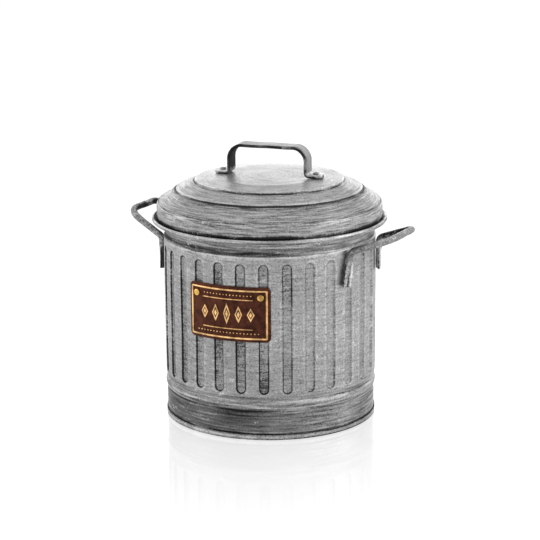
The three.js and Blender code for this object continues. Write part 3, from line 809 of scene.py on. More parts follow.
def arc(centre: Point, radius: float, start: float, end: float, steps: int) -> list[Corner]:
    """Points on an arc, as corners.

    Args:
        centre: Radius and height of the centre.
        radius: The arc's radius.
        start: First angle, in degrees from outward.
        end: Last angle.
        steps: Number of equal steps.

    Returns:
        The points in order.
    """
    angles = np.radians(np.linspace(start, end, steps + 1))
    return [
        Corner(centre[0] + radius * math.cos(a), centre[1] + radius * math.sin(a)) for a in angles
    ]


def spread(line: Array, longest: float) -> Array:
    """Adds points to a line so that no step of it is too long.

    Args:
        line: Points as rows.
        longest: The longest step allowed.

    Returns:
        The line with the added points.
    """
    made = [line[0]]
    for a, b in zip(line[:-1], line[1:]):
        count = max(1, math.ceil(float(np.linalg.norm(b - a)) / longest))
        made.extend(a + (b - a) * (k / count) for k in range(1, count + 1))
    return np.array(made)


def directions(line: Array) -> Array:
    """Unit directions along a line, at each of its points."""
    along = np.gradient(line, axis=0)
    return along / np.linalg.norm(along, axis=1, keepdims=True)


def unevenness(points: Array, size: float, amount: float, seed: float) -> Array:
    """A gentle waviness, as sheet metal has.

    Args:
        points: Points in millimetres, as rows.
        size: Width of a wave.
        amount: Height of a wave.
        seed: Where in the pattern to look.

    Returns:
        One offset for each point.
    """
    shift = Vector((seed, -seed, 2 * seed))
    return np.array([noise.noise(Vector(p) / size + shift) for p in points]) * amount


def make_object(name: str, points: Array, faces: Faces) -> Piece:
    """Makes a smooth mesh object.

    Args:
        name: The object's name.
        points: Vertices in millimetres, as rows.
        faces: Vertex numbers of each face.

    Returns:
        The object, linked into the scene.
    """
    mesh = bpy.data.meshes.new(name)
    mesh.from_pydata((points * MM).tolist(), [], faces)
    mesh.update()
    mesh.shade_smooth()
    made = bpy.data.objects.new(name, mesh)
    bpy.context.scene.collection.objects.link(made)
    return made


def set_shade(piece: Piece, share: Array) -> None:
    """Stores how much painted shade and darkening each vertex of a piece carries.

    Args:
        piece: The piece.
        share: Coverage up to 1 for each vertex, and below 0 where it is painted lighter.
    """
    layer = piece.data.attributes.new(SHADE, "FLOAT", "POINT")
    layer.data.foreach_set("value", share.astype(np.float32))


def ring_faces(rows: int, columns: int, joins_up: bool) -> Faces:
    """Faces of a grid whose columns close round.

    Args:
        rows: Number of rings.
        columns: Vertices in each ring.
        joins_up: Whether the last ring joins the first.

    Returns:
        The faces.
    """
    row = np.arange(rows if joins_up else rows - 1)[:, None]
    column = np.arange(columns)[None, :]
    up = (row + 1) % rows
    beside = (column + 1) % columns
    corners = ((row, column), (row, beside), (up, beside), (up, column))
    faces = np.stack([a * columns + b for a, b in corners], axis=-1)
    return [tuple(f) for f in faces.reshape(-1, 4).tolist()]


def end_caps(rows: int, columns: int) -> Faces:
    """Faces that close the first and last ring of a tube.

    Args:
        rows: Number of rings.
        columns: Vertices in each ring.

    Returns:
        The two faces.
    """
    last = (rows - 1) * columns
    return [tuple(range(columns))[::-1], tuple(range(last, last + columns))]


def turned(profile: Array, columns: int) -> tuple[Array, Faces]:
    """Turns a profile about the axis. Ends on the axis come to one point.

    Args:
        profile: Radius and height of each point, anticlockwise about the material.
        columns: Number of columns round the axis.

    Returns:
        The vertices in millimetres, and the faces.
    """
    angles = np.linspace(0, 2 * math.pi, columns, endpoint=False)
    starts, ends = profile[0][0] < 1e-6, profile[-1][0] < 1e-6
    body = profile[int(starts) : len(profile) - int(ends)]
    radius, height = (np.repeat(body[:, i : i + 1], columns, axis=1) for i in (0, 1))
    points = np.stack([radius * np.cos(angles), radius * np.sin(angles), height], axis=-1)
    points = points.reshape(-1, 3)
    faces = ring_faces(len(body), columns, not (starts or ends))
    last = (len(body) - 1) * columns
    if starts:
        faces += [(len(points), (k + 1) % columns, k) for k in range(columns)]
        points = np.vstack([points, [0, 0, profile[0][1]]])
    if ends:
        faces += [(len(points), last + k, last + (k + 1) % columns) for k in range(columns)]
        points = np.vstack([points, [0, 0, profile[-1][1]]])
    return points, faces


def smooth_step(value: Shares, start: float, end: float) -> Shares:
    """Goes smoothly from 0 at start to 1 at end.

    Args:
        value: Where to look.
        start: Where it leaves 0.
        end: Where it reaches 1.

    Returns:
        The share for each value.
    """
    part = np.clip((value - start) / (end - start), 0, 1)
    return part * part * (3 - 2 * part)


def dress(
    piece: Piece, material: Finish, body: str, node: str
) -> None:
    """Gives a piece its finish, its body and the solid that it stands for.

    Args:
        piece: The new piece.
        material: Its finish.
        body: The body that it rides on.
        node: The solid that it replaces.
    """
    piece.data.materials.append(material)
    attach(piece, body)
    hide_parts(node)
    log.info("%s rides on %s, %d vertices", piece.name, body, len(piece.data.vertices))


# ------------------------------------------------------------------ the bin's body


@dataclass
class BinBody:
    """The fluted wall with its rolled rim, the wire in the rim and the dish at the foot.

    Attributes:
        beads: Beads, grooves and ledges round the wall: height, half width and rise.
        band_step: Heights between which the band at the foot widens to the wall.
        neck_fall: Heights between which the wall falls into the neck's groove.
        neck_bulge: Heights between which it rises again.
        flute_wall: Depths into a flute's outline between which its wall falls.
        waves: Width, height and seed of the sheet's waviness.
        calm_ends: Heights between which the waves begin and, further up, end.
        dish_step: Radii between which the dish's middle rises by dish_rise.
        flare_ring: The ring of the inner rim from which the flare is painted dark as shade.
        flare_shade: Painted shade in the flare, seen through the gap under the lid, and a lighter
            one over the rest of the inside.
        flutes: The flutes.
    """

    wall_radius: float = 79.7
    band_radius: float = 78.9
    sheet: float = 0.6
    seam_radius: float = 79.68
    seam_height: float = 4.0
    dish_recess: float = 3.9
    dish_rise: float = 0.35
    foot_start: float = 0.95
    beads: tuple[tuple[float, float, float], ...] = (
        (25.4, 4.4, 1.0), (18.9, 1.5, -0.28), (137.3, 0.9, 0.16)
    )
    band_step: Point = (30.6, 33.2)
    neck_fall: Point = (137.6, 139.3)
    neck_bulge: Point = (142.2, 145.4)
    neck_groove: float = 1.0
    neck_rise: float = 0.5
    neck_top: float = 146.8
    curl_centre: Point = (86.9, 150.4)
    curl_radius: float = 1.4
    curl_inside: float = 0.85
    flare_degrees: float = 27.0
    flute_depth: float = 1.5
    flute_wall: Point = (-0.3, 1.25)
    waves: tuple[float, float, float] = (34.0, 0.28, 3.7)
    calm_ends: tuple[Point, Point] = ((8.0, 40.0), (126.0, 143.0))
    dish_step: Point = (52.0, 55.0)
    clearance: float = 0.3
    flare_ring: int = 19
    flare_shade: Point = (1.0, 0.2)
    flutes: FluteField = field(
        default_factory=lambda: FluteField(29, -1.2, 79.7, 34.9, 132.1, 3.65)
    )

    def wall(self, height: Array) -> Array:
        """Outside radius of the wall, without its flutes.

        Args:
            height: Heights above the floor.

        Returns:
            The radius at each height.
        """
        radius = np.full_like(height, self.band_radius)
        radius += (self.wall_radius - self.band_radius) * smooth_step(height, *self.band_step)
        for middle, half, rise in self.beads:
            away = np.clip(np.abs(height - middle) / half, 0, 1)
            radius += rise * 0.5 * (1 + np.cos(math.pi * away))
        radius -= self.neck_groove * smooth_step(height, *self.neck_fall)
        return radius + (self.neck_groove + self.neck_rise) * smooth_step(height, *self.neck_bulge)

    def _columns(self) -> Array:
        """Azimuths of the columns, close together at the flutes' edges, in degrees.

        Returns:
            One azimuth for each column.
        """
        half = self.flutes.pitch / 2
        steps = [0.0, 1.1, 2.1, 2.5, 2.75, 3.0, 3.25, 3.5, 3.75, 4.0, 4.3, 4.8, 5.8, 7.2]
        across = [-s for s in steps[:0:-1]] + steps + [half]
        azimuths = []
        for k in range(self.flutes.count):
            middle = self.flutes.phase + k * 360 / self.flutes.count
            azimuths += [middle + math.degrees(a / self.wall_radius) for a in across]
        return np.array(azimuths)

    def _rows(self, coarse: bool) -> Array:
        """Heights of the rings up the wall.

        Args:
            coarse: Whether only the rings that the inside needs are wanted.

        Returns:
            The heights, from the foot up.
        """
        if coarse:
            ends = [self.flutes.low + d for d in (-0.5, 0.5, 1.5, 2.7, 4.2)]
            tops = [self.flutes.high - d for d in (4.2, 2.7, 1.5, 0.5, -0.5)]
            low = [self.foot_start, 18, 21, 23, 25.4, 28, 30, 31.5, 33.2]
            neck = [137.0, 138.4, 139.6, 142.2, 143.6, 145.0, 146.5]
            return np.array(low + ends + list(np.linspace(45, 122, 7)) + tops + neck)
        low = np.arange(self.foot_start, 17, 2.7)
        bead = np.arange(17.3, 34.2, 0.42)
        foot = np.arange(self.flutes.low - 0.5, self.flutes.low + 4.6, 0.3)
        middle = np.linspace(self.flutes.low + 5.4, self.flutes.high - 5.4, 24)
        head = np.arange(self.flutes.high - 4.6, self.flutes.high + 0.6, 0.3)
        neck = np.arange(self.flutes.high + 1.4, 146.6, 0.45)
        return np.concatenate([low, bead, foot, middle, head, neck])

    def _rim(self) -> tuple[Array, Array]:
        """The flare and the roll, seen from outside and then from inside.

        Returns:
            Radius and height of each point on the outer side, and on the inner.
        """
        tilt = math.radians(self.flare_degrees)
        outer = self.wall_radius + self.neck_rise
        lines = []
        for curl, neck, fillet, steps in (
            (self.curl_inside, outer, 1.6, 16),
            (self.curl_radius, outer - self.sheet, 2.0, 22),
        ):
            r = self.curl_centre[0] - curl * math.sin(tilt)
            z = self.curl_centre[1] + curl * math.cos(tilt)
            knee = z - (r - neck) * math.tan(tilt)
            roll = arc(self.curl_centre, curl, 90 + self.flare_degrees, -95, steps)
            lines.append([Corner(neck, self.neck_top), Corner(neck, knee, fillet), *roll])
        return rounded(lines[0], 10), rounded(lines[1][::-1], 10)

    def _ring(self, azimuths: Array, radius: float, z: float) -> Array:
        """One ring, with the flutes pressed into it.

        Args:
            azimuths: Azimuths of its points, in degrees.
            radius: Its radius outside the flutes.
            z: Its height.

        Returns:
            The ring's points, as rows.
        """
        turn = (azimuths - self.flutes.phase) * self.flutes.count / 360
        across = (turn - np.round(turn)) * self.flutes.pitch
        edge = self.flutes.distance(across, np.full_like(across, z))
        out = radius - self.flute_depth * smooth_step(-edge, *self.flute_wall)
        angle = np.radians(azimuths)
        return np.stack([out * np.sin(angle), -out * np.cos(angle), np.full_like(angle, z)], axis=-1)

    def build_wall(self) -> Piece:
        """Makes the pressed sheet of the body.

        Returns:
            The wall, rim and inside as one closed sheet.
        """
        azimuths = self._columns()
        heights = self._rows(coarse=False)
        inner = self._rows(coarse=True)[::-1]
        rim_out, rim_in = self._rim()
        line = [*zip(self.wall(heights), heights), *rim_out, *rim_in]
        line += zip(self.wall(inner) - self.sheet, inner)
        points = np.concatenate([self._ring(azimuths, r, z) for r, z in line])
        starts, ends = (smooth_step(points[:, 2], *span) for span in self.calm_ends)
        offset = unevenness(points, *self.waves) * starts * (1 - ends)
        points[:, :2] *= (1 + offset / np.hypot(points[:, 0], points[:, 1]))[:, None]
        faces = ring_faces(len(line), len(azimuths), True)
        skin = make_object("body_skin", points, faces)
        roll = len(heights) + len(rim_out)
        # Painted shade: the flare's inside, seen through the gap under the lid, is painted dark, and
        # the rest of the inside a little darker.
        oxide_and_shade = np.zeros(len(line))
        oxide_and_shade[roll + self.flare_ring :] = self.flare_shade[0]
        oxide_and_shade[roll + len(rim_in) :] = self.flare_shade[1]
        set_shade(skin, np.repeat(oxide_and_shade, len(azimuths)))
        return skin

    def build_dish(self) -> Piece:
        """Makes the dish at the foot, with the channel that holds the wall.

        Returns:
            The dish.
        """
        lip = self.seam_radius - self.sheet
        channel = self.band_radius - self.sheet - self.clearance
        inside = channel - self.sheet
        low = self.dish_recess
        high = low + self.sheet
        near, far = self.dish_step
        corners = [
            Corner(0, low + self.dish_rise),
            Corner(near, low + self.dish_rise, 3),
            Corner(far, low, 3),
            Corner(inside, low, 1.0),
            Corner(inside, 0.02, 0.5),
            Corner(self.seam_radius, 0.02, 0.7),
            Corner(self.seam_radius, self.seam_height, 0.28),
            Corner(lip, self.seam_height, 0.28),
            Corner(lip, self.sheet, 0.1),
            Corner(channel, self.sheet, 0.1),
            Corner(channel, high, 0.9),
            Corner(far, high, 3),
            Corner(near, high + self.dish_rise, 3),
            Corner(0, high + self.dish_rise),
        ]
        return make_object("base_dish", *turned(spread(rounded(corners), 6.0), 232))

    def build(self) -> None:
        """Makes and dresses the wall, the dish and the wire."""
        # Oxide in the grooves, painted shadow in the gap over the seam near 4 mm, painted shade under
        # the bead near 22 mm, and painted shade under the rolled rim from 146 mm up.
        grooves_and_shade = Rings(Scale.HEIGHT, (
            (0.0, 0.2), (3.7, 0.3), (4.1, 1.0), (4.9, 0.95), (5.5, 0.2), (8.0, 0.1),
            (16.4, 0.1), (18.2, 0.4), (19.4, 0.22), (20.8, 0.35), (22.0, 0.85),
            (22.8, 0.3), (24.6, 0.06), (29.0, 0.05), (31.4, 0.3), (33.0, 0.1), (34.4, 0.0),
            (137.0, 0.0), (138.2, 0.25), (139.0, 0.66), (140.6, 0.7), (141.6, 0.28),
            (143.4, 0.1), (146.2, 0.1), (147.2, 0.24), (148.6, 0.42), (149.6, 0.42),
            (150.4, 0.25), (151.9, 0.2),
        ))
        # Painted highlights on the top of the bead, the small bead, the neck and the rolled rim.
        edges = Rings(Scale.HEIGHT, (
            (0.0, 0.1), (20.2, 0.05), (22.8, 0.1), (24.4, 0.26), (28.4, 0.26), (30.6, 0.0),
            (134.0, 0.0), (135.8, 0.16), (136.8, 0.42), (137.6, 0.36), (138.4, 0.1),
            (142.6, 0.1), (144.6, 0.26), (147.0, 0.1), (151.3, 0.1), (151.9, 0.5),
        ))
        # An even darkening over the band at the foot, and painted shade on the neck under the rolled
        # rim.
        films_and_shade = Rings(Scale.HEIGHT, (
            (0.0, 0.25), (5.5, 0.74), (17.0, 0.76), (20.0, 0.7), (22.4, 0.6), (24.0, 0.3),
            (29.0, 0.34), (31.5, 0.36), (33.5, 0.06), (136.6, 0.0), (137.6, 0.45),
            (139.0, 0.68), (142.0, 0.72), (144.5, 0.4), (147.0, 0.26), (149.0, 0.2),
            (150.4, 0.1), (151.9, 0.0),
        ))
        sweeps = Rings(Scale.HEIGHT, (
            (0.0, 1.0), (31.0, 1.0), (33.6, 0.4), (36.5, 0.12), (130.0, 0.12), (135.5, 0.3),
            (138.5, 1.0), (151.9, 1.0),
        ))
        zinc = BrushedZinc(
            name="galvanized_sheet_brushed_body",
            dark_rings=grooves_and_shade,
            bright_rings=edges,
            film_and_shade_rings=films_and_shade,
            sweep_rings=sweeps,
            flutes=self.flutes,
            dark_cover=0.06,
            bright_cover=0.13,
            grain_mm=0.6,
            grain_depth=0.17,
            streak_depth=0.13,
            sweep_mm=0.8,
            sweep_run=22.0,
            sweep_depth=0.36,
            scuffs=0.9,
            shaded=True,
            # The right side is painted lighter, as if lit from the right.
            lit_right_stain=0.42,
        ).build()
        dish = BrushedZinc(
            name="galvanized_sheet_brushed_foot",
            clean="949494",
            # Painted shade along the floor and in the gap over the seam, with a lighter band between.
            dark_rings=Rings(
                Scale.HEIGHT, ((0.0, 0.9), (0.7, 0.6), (1.3, 0.1), (3.0, 0.1), (3.7, 0.5), (4.5, 0.8))
            ),
            bright_rings=Rings(
                Scale.HEIGHT, ((0.0, 0.0), (1.3, 0.2), (2.0, 0.5), (2.8, 0.4), (3.4, 0.0))
            ),
            roughness=0.45,
        ).build()
        wire = BrushedZinc(
            name="drawn_steel_wire",
            clean="6c6c6c",
            brush=BrushWay.NONE,
            dark_cover=0.3,
            roughness=0.5,
        ).build()
        dress(self.build_wall(), zinc, "can", "body_shell")
        dress(self.build_dish(), dish, "can", "base_pan")
        wire_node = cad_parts["rim_wire"]
        wire_node.data.materials.clear()
        wire_node.data.materials.append(wire)
        log.info("rim_wire keeps its solid")


# ------------------------------------------------------------------ the side handles


@dataclass
class SideHandle:
    """One bent rod with its two flattened ears, on the right or the left of the bin.

    Attributes:
        name: The piece's name.
        node: The solid that it stands for.
        azimuth: Where it sits, in degrees round from the front.
        ear_feet: Heights of the ears' lower ends.
        bend_height: Height of the bends above the ears.
        reach: How far the loop stands out from the wall.
        rise: How steeply it rises, in degrees.
        ear_squareness: How far an ear's section is squared, as a share.
        crease_width: Width of an ear's crease, as a share of its half width.
        taper: Length over which the round rod flattens into an ear.
        stain: Darkening added all over, as a share.
    """

    name: str
    node: str
    azimuth: float
    ear_feet: Point
    bend_height: float
    reach: float
    rise: float
    rod: float = 5.2
    half_span: float = 25.2
    ear_splay: float = 3.5
    loop_taper: float = 1.7
    corner: float = 12.0
    bend: float = 5.5
    ear_width: float = 7.9
    ear_thickness: float = 2.7
    ear_crease: float = 0.8
    ear_squareness: float = 0.4
    crease_width: float = 0.62
    ear_standoff: float = 1.35
    wall_radius: float = 79.7
    clearance: float = 0.3
    taper: float = 9.0
    sides: int = 32
    stain: float = 0.0

    def _path(self) -> Array:
        """The middle line of the rod: out from the axis, across, and up.

        Returns:
            The points in order.
        """
        ear = self.wall_radius + self.clearance + self.ear_standoff + self.ear_thickness / 2
        foot = self.half_span + self.ear_splay
        grip = self.half_span - self.loop_taper
        tilt = math.radians(self.rise)
        on_wall = math.sqrt(ear**2 - self.half_span**2)
        out = on_wall + self.reach * math.cos(tilt)
        up = self.bend_height + self.reach * math.sin(tilt)
        at_foot = math.sqrt(ear**2 - foot**2)
        corners = np.array(
            [
                [at_foot, -foot, self.ear_feet[0]],
                [on_wall, -self.half_span, self.bend_height],
                [out, -grip, up],
                [out, grip, up],
                [on_wall, self.half_span, self.bend_height],
                [at_foot, foot, self.ear_feet[1]],
            ]
        )
        radii = [self.bend, self.corner, self.corner, self.bend]
        line = [corners[0]]
        for i, radius in enumerate(radii, start=1):
            line += round_corner(*corners[i - 1 : i + 2], radius, steps=12)
        line.append(corners[-1])
        return spread(np.array(line), 1.6)

    def _section(self, flat: float) -> Array:
        """The rod's section, from round at 0 to a creased ear at 1.

        Args:
            flat: How far the rod is flattened into an ear.

        Returns:
            Each point's place across the rod and away from the bin.
        """
        angle = np.linspace(0, 2 * math.pi, self.sides, endpoint=False)
        half = (self.rod * (1 - flat) + self.ear_width * flat) / 2
        deep = (self.rod * (1 - flat) + self.ear_thickness * flat) / 2
        power = 1 - self.ear_squareness * flat
        across = half * np.sign(np.cos(angle)) * np.abs(np.cos(angle)) ** power
        away = deep * np.sign(np.sin(angle)) * np.abs(np.sin(angle)) ** power
        valley = np.clip(1 - np.abs(across) / (self.crease_width * half), 0, 1)
        outer = np.sin(angle) > 0
        away -= flat * np.where(outer, self.ear_crease, self.ear_standoff) * valley
        return np.stack([across, away], axis=-1)

    def _shade(self, flat: float, on_loop: float) -> Array:
        """The painted shade and highlight round one section of the rod.

        Args:
            flat: 0 where the rod is round, and 1 on the ear.
            on_loop: 1 on the loop, and 0 on the ear and the bend.

        Returns:
            The share of painted shade and darkening, below 0 for a painted highlight on the ear.
        """
        angle = np.linspace(0, 2 * math.pi, self.sides, endpoint=False)
        side = np.cos(angle)
        # On the ear: a dark line along the crease, painted shadow along one edge and a dark line
        # along the other.
        crease = 0.7 * np.exp(-((side / 0.13) ** 2)) * (np.sin(angle) > 0)
        flank = 0.8 * smooth_step(side, 0.9, 0.99)
        ear = np.maximum(np.maximum(crease, flank), 0.6 * smooth_step(-side, 0.93, 0.99))
        # A painted highlight on the ear's lit face.
        lit = smooth_step(-side, 0.12, 0.3) * (1 - smooth_step(-side, 0.86, 0.97)) * (ear < 0.3)
        # Painted shade on the inner side of the loop.
        inner = on_loop * smooth_step(side, -0.15, 0.75)
        shade_and_stain = flat * ear + (1 - flat) * 0.78 * inner + self.stain
        return np.clip(shade_and_stain - flat * 0.75 * lit, -1, 1)

    def build_rod(self) -> Piece:
        """Makes the rod.

        Returns:
            The handle as one closed tube.
        """
        path = self._path()
        angle = math.radians(self.azimuth)
        outward = np.array([math.sin(angle), -math.cos(angle), 0])
        sideways = np.array([math.cos(angle), math.sin(angle), 0])
        tilt = math.radians(self.rise)
        lifted = np.array([-math.sin(tilt), 0, math.cos(tilt)])
        rings, shades = [], []
        for at, along in zip(path, directions(path)):
            radial = np.array([at[0], at[1], 0]) / math.hypot(at[0], at[1])
            share = np.clip((at[2] - self.bend_height + self.bend) / self.bend, 0, 1)
            away = radial * (1 - share) + lifted * share
            across = np.cross(away, along)
            across /= np.linalg.norm(across)
            square = np.cross(along, across)
            flat = smooth_step(self.bend_height - self.bend - at[2], -1.0, self.taper)
            section = self._section(flat)
            local = at + section[:, 0:1] * across + section[:, 1:2] * square
            rings.append(
                local[:, 0:1] * outward + local[:, 1:2] * sideways + local[:, 2:3] * [0, 0, 1]
            )
            shades.append(self._shade(flat, smooth_step(at[2] - self.bend_height, 0.0, 3.0)))
        points = np.concatenate(rings)
        dents = -np.abs(unevenness(points, 9.0, 0.3, self.azimuth))
        centres = np.repeat(np.array([r.mean(axis=0) for r in rings]), self.sides, axis=0)
        way = points - centres
        points = points + way / np.linalg.norm(way, axis=1, keepdims=True) * dents[:, None]
        faces = ring_faces(len(path), self.sides, False) + end_caps(len(path), self.sides)
        rod = make_object(self.name, points, faces)
        set_shade(rod, np.concatenate(shades))
        return rod

    def build(self, material: Finish) -> None:
        """Makes and dresses the handle.

        Args:
            material: The rod's finish.
        """
        dress(self.build_rod(), material, "can", self.node)


# ------------------------------------------------------------------ the plaque


@dataclass
class Plaque:
    """The cast plaque, bent with the wall, with a raised frame and a plain ornament."""

    azimuth: float = 4.2
    width: float = 64.0
    height: float = 41.0
    middle: float = 95.1
    back: float = 80.02
    face: float = 81.0
    relief: float = 0.68
    edge_fall: float = 0.35
    ground_depth: float = 0.12
    cushion: float = 0.08
    corner: float = 3.4
    frame_inset: float = 1.7
    frame_width: float = 2.1
    bar_half: float = 20.0
    bar_width: float = 1.5
    bar_offset: float = 11.0
    lozenge_count: int = 5
    lozenge_pitch: float = 9.0
    lozenge_half_width: float = 3.0
    lozenge_half_height: float = 8.5
    lozenge_fall: float = 1.5
    bead_radius: float = 0.62
    bead_pitch: float = 2.6
    bead_offset: float = 14.1
    rivet_x: float = 25.0
    rivet_z: float = 13.0
    grid: tuple[int, int] = (256, 164)

    def _height(self, u: Array, v: Array) -> Array:
        """How far the face stands up at each place.

        Args:
            u: Distance to the right of the plaque's middle.
            v: Distance above it.

        Returns:
            The height over the plain face, below 0 in the ground.
        """
        inner = self.corner
        x = np.abs(u) - (self.width / 2 - inner)
        z = np.abs(v) - (self.height / 2 - inner)
        edge = np.hypot(np.maximum(x, 0), np.maximum(z, 0)) + np.minimum(np.maximum(x, z), 0)
        depth = inner - edge
        centre = self.frame_inset + self.frame_width / 2
        frame_line = self._ridge(np.abs(depth - centre), self.frame_width / 2)
        rim = self.edge_fall * (1 - smooth_step(depth, 0.0, 0.9))
        shapes = np.maximum(frame_line, self._ornament(u, v))
        ground = self.cushion * smooth_step(depth, 4.2, 6.0) - self.ground_depth
        return self.relief * shapes - rim + ground * (1 - shapes)

    @staticmethod
    def _ridge(distance: Array, half: float) -> Array:
        """A raised line with rounded shoulders, 1 along its middle."""
        return 1 - smooth_step(distance, half - 1.0, half + 0.35)

    def _ornament(self, u: Array, v: Array) -> Array:
        """Lozenges between two bars, with a row of beads over and under them.

        Args:
            u: Distance to the right of the plaque's middle.
            v: Distance above it.

        Returns:
            1 where the ornament stands up, and 0 where there is none.
        """
        made = np.zeros_like(u)
        for i in range(self.lozenge_count):
            step = i - (self.lozenge_count - 1) / 2
            tall = self.lozenge_half_height - self.lozenge_fall * abs(step)
            inside = 1 - np.abs(u - step * self.lozenge_pitch) / self.lozenge_half_width
            inside -= np.abs(v) / tall
            rim = np.abs(inside - 0.24)
            outline = 1 - smooth_step(rim, 0.1, 0.27)
            core = smooth_step(inside, 0.5, 0.72)
            made = np.maximum(made, np.maximum(outline, core))
        for side in (-1, 1):
            across = np.maximum(np.abs(u) - self.bar_half + self.bar_width / 2, 0)
            line = np.hypot(across, v - side * self.bar_offset)
            made = np.maximum(made, self._ridge(line, self.bar_width / 2))
        for side, reach in ((-1, 9), (1, 7)):
            for k in range(-reach, reach + 1):
                away = np.hypot(u - k * self.bead_pitch, v - side * self.bead_offset)
                made = np.maximum(made, 1 - smooth_step(away, 0.2, self.bead_radius + 0.25))
        return made

    def _on_wall(self, u: Array, v: Array, radius: Array) -> Array:
        """Bends flat places round the wall."""
        angle = math.radians(self.azimuth) + np.arcsin(u / self.face)
        return np.stack([radius * np.sin(angle), -radius * np.cos(angle), self.middle + v], axis=-1)

    def build_plate(self) -> Piece:
        """Makes the cast plate.

        Returns:
            The plate, closed at its back.
        """
        columns, rows = self.grid
        share = np.linspace(-1, 1, columns)
        edges = np.array([0, 0.15, 0.4, 0.8]) / (self.height / 2)
        inner = np.linspace(-1 + 1.1 / self.height * 2, 1 - 1.1 / self.height * 2, rows - 8)
        level = np.concatenate([-1 + edges, inner, (1 - edges)[::-1]]) * self.height / 2
        u = np.zeros((rows, columns))
        v = np.repeat(level[:, None], columns, axis=1)
        for j, z in enumerate(level):
            past = max(abs(z) - (self.height / 2 - self.corner), 0)
            cut = self.corner - math.sqrt(max(self.corner**2 - past**2, 0))
            u[j] = share * (self.width / 2 - cut)
        front = self._on_wall(u, v, self.face + self._height(u, v))
        rear = self._on_wall(u, v, np.full_like(u, self.back))
        points = np.concatenate([front.reshape(-1, 3), rear.reshape(-1, 3)])
        offset = rows * columns
        faces: Faces = []
        for j in range(rows - 1):
            for i in range(columns - 1):
                a = j * columns + i
                faces.append((a, a + 1, a + columns + 1, a + columns))
                faces.append(tuple(offset + k for k in (a, a + columns, a + columns + 1, a + 1)))
        border = list(range(columns))
        border += [j * columns + columns - 1 for j in range(1, rows)]
        border += [(rows - 1) * columns + i for i in range(columns - 2, -1, -1)]
        border += [j * columns for j in range(rows - 2, 0, -1)]
        for a, b in zip(border, border[1:] + border[:1]):
            faces.append((b, a, offset + a, offset + b))
        return make_object("plaque_cast", points, faces)

    def build_rivet(self, name: str, side: int) -> Piece:
        """Makes one rivet through the plaque and the wall.

        Args:
            name: The rivet's name.
            side: -1 for the left one and 1 for the right one.

        Returns:
            The rivet.
        """
        seat, tail = self.face + 0.3, 77.3
        corners = [
            Corner(0, tail - 0.68),
            Corner(1.5, tail - 0.68, 0.4),
            Corner(1.95, tail, 0.3),
            Corner(1.2, tail, 0.1),
            Corner(1.2, seat, 0.1),
            Corner(2.62, seat, 0.2),
            Corner(2.3, seat + 0.82, 1.4),
            Corner(1.2, seat + 1.24, 1.6),
            Corner(0, seat + 1.24),
        ]
        points, faces = turned(spread(rounded(corners), 0.5), 40)
        head = smooth_step(points[:, 2], seat + 0.3, seat + 1.1)
        points[:, 2] -= np.abs(unevenness(points, 2.2, 0.5, 1.3 + side)) * head
        lean = math.asin(side * self.rivet_x / self.face) + math.radians(self.azimuth)
        turn = Matrix.Rotation(lean, 3, "Z") @ Matrix.Rotation(math.pi / 2, 3, "X")
        placed = points @ np.array(turn).T + [0, 0, self.middle + self.rivet_z]
        return make_object(name, placed, faces)

    def build(self) -> None:
        """Makes and dresses the plaque and its rivets."""
        cast = AntiqueBrass(
            name="cast_brass_brown_ground", low=self.face + 0.08, high=self.face + 0.6
        ).build()
        # The rivet heads take painted shade round their foot and a painted highlight on the crown,
        # with the wear of what stands up.
        head = AntiqueBrass(
            name="brass_rivet_domed",
            bright="dcb062",
            bronze="9c6a2c",
            low=self.face - 0.3,
            high=self.face + 1.35,
        ).build()
        dress(self.build_plate(), cast, "can", "plaque")
        for side, word in ((-1, "left"), (1, "right")):
            rivet = self.build_rivet(f"plaque_rivet_head_{word}", side)
            dress(rivet, head, "can", f"plaque_rivet_{word}")


# ------------------------------------------------------------------ the lid


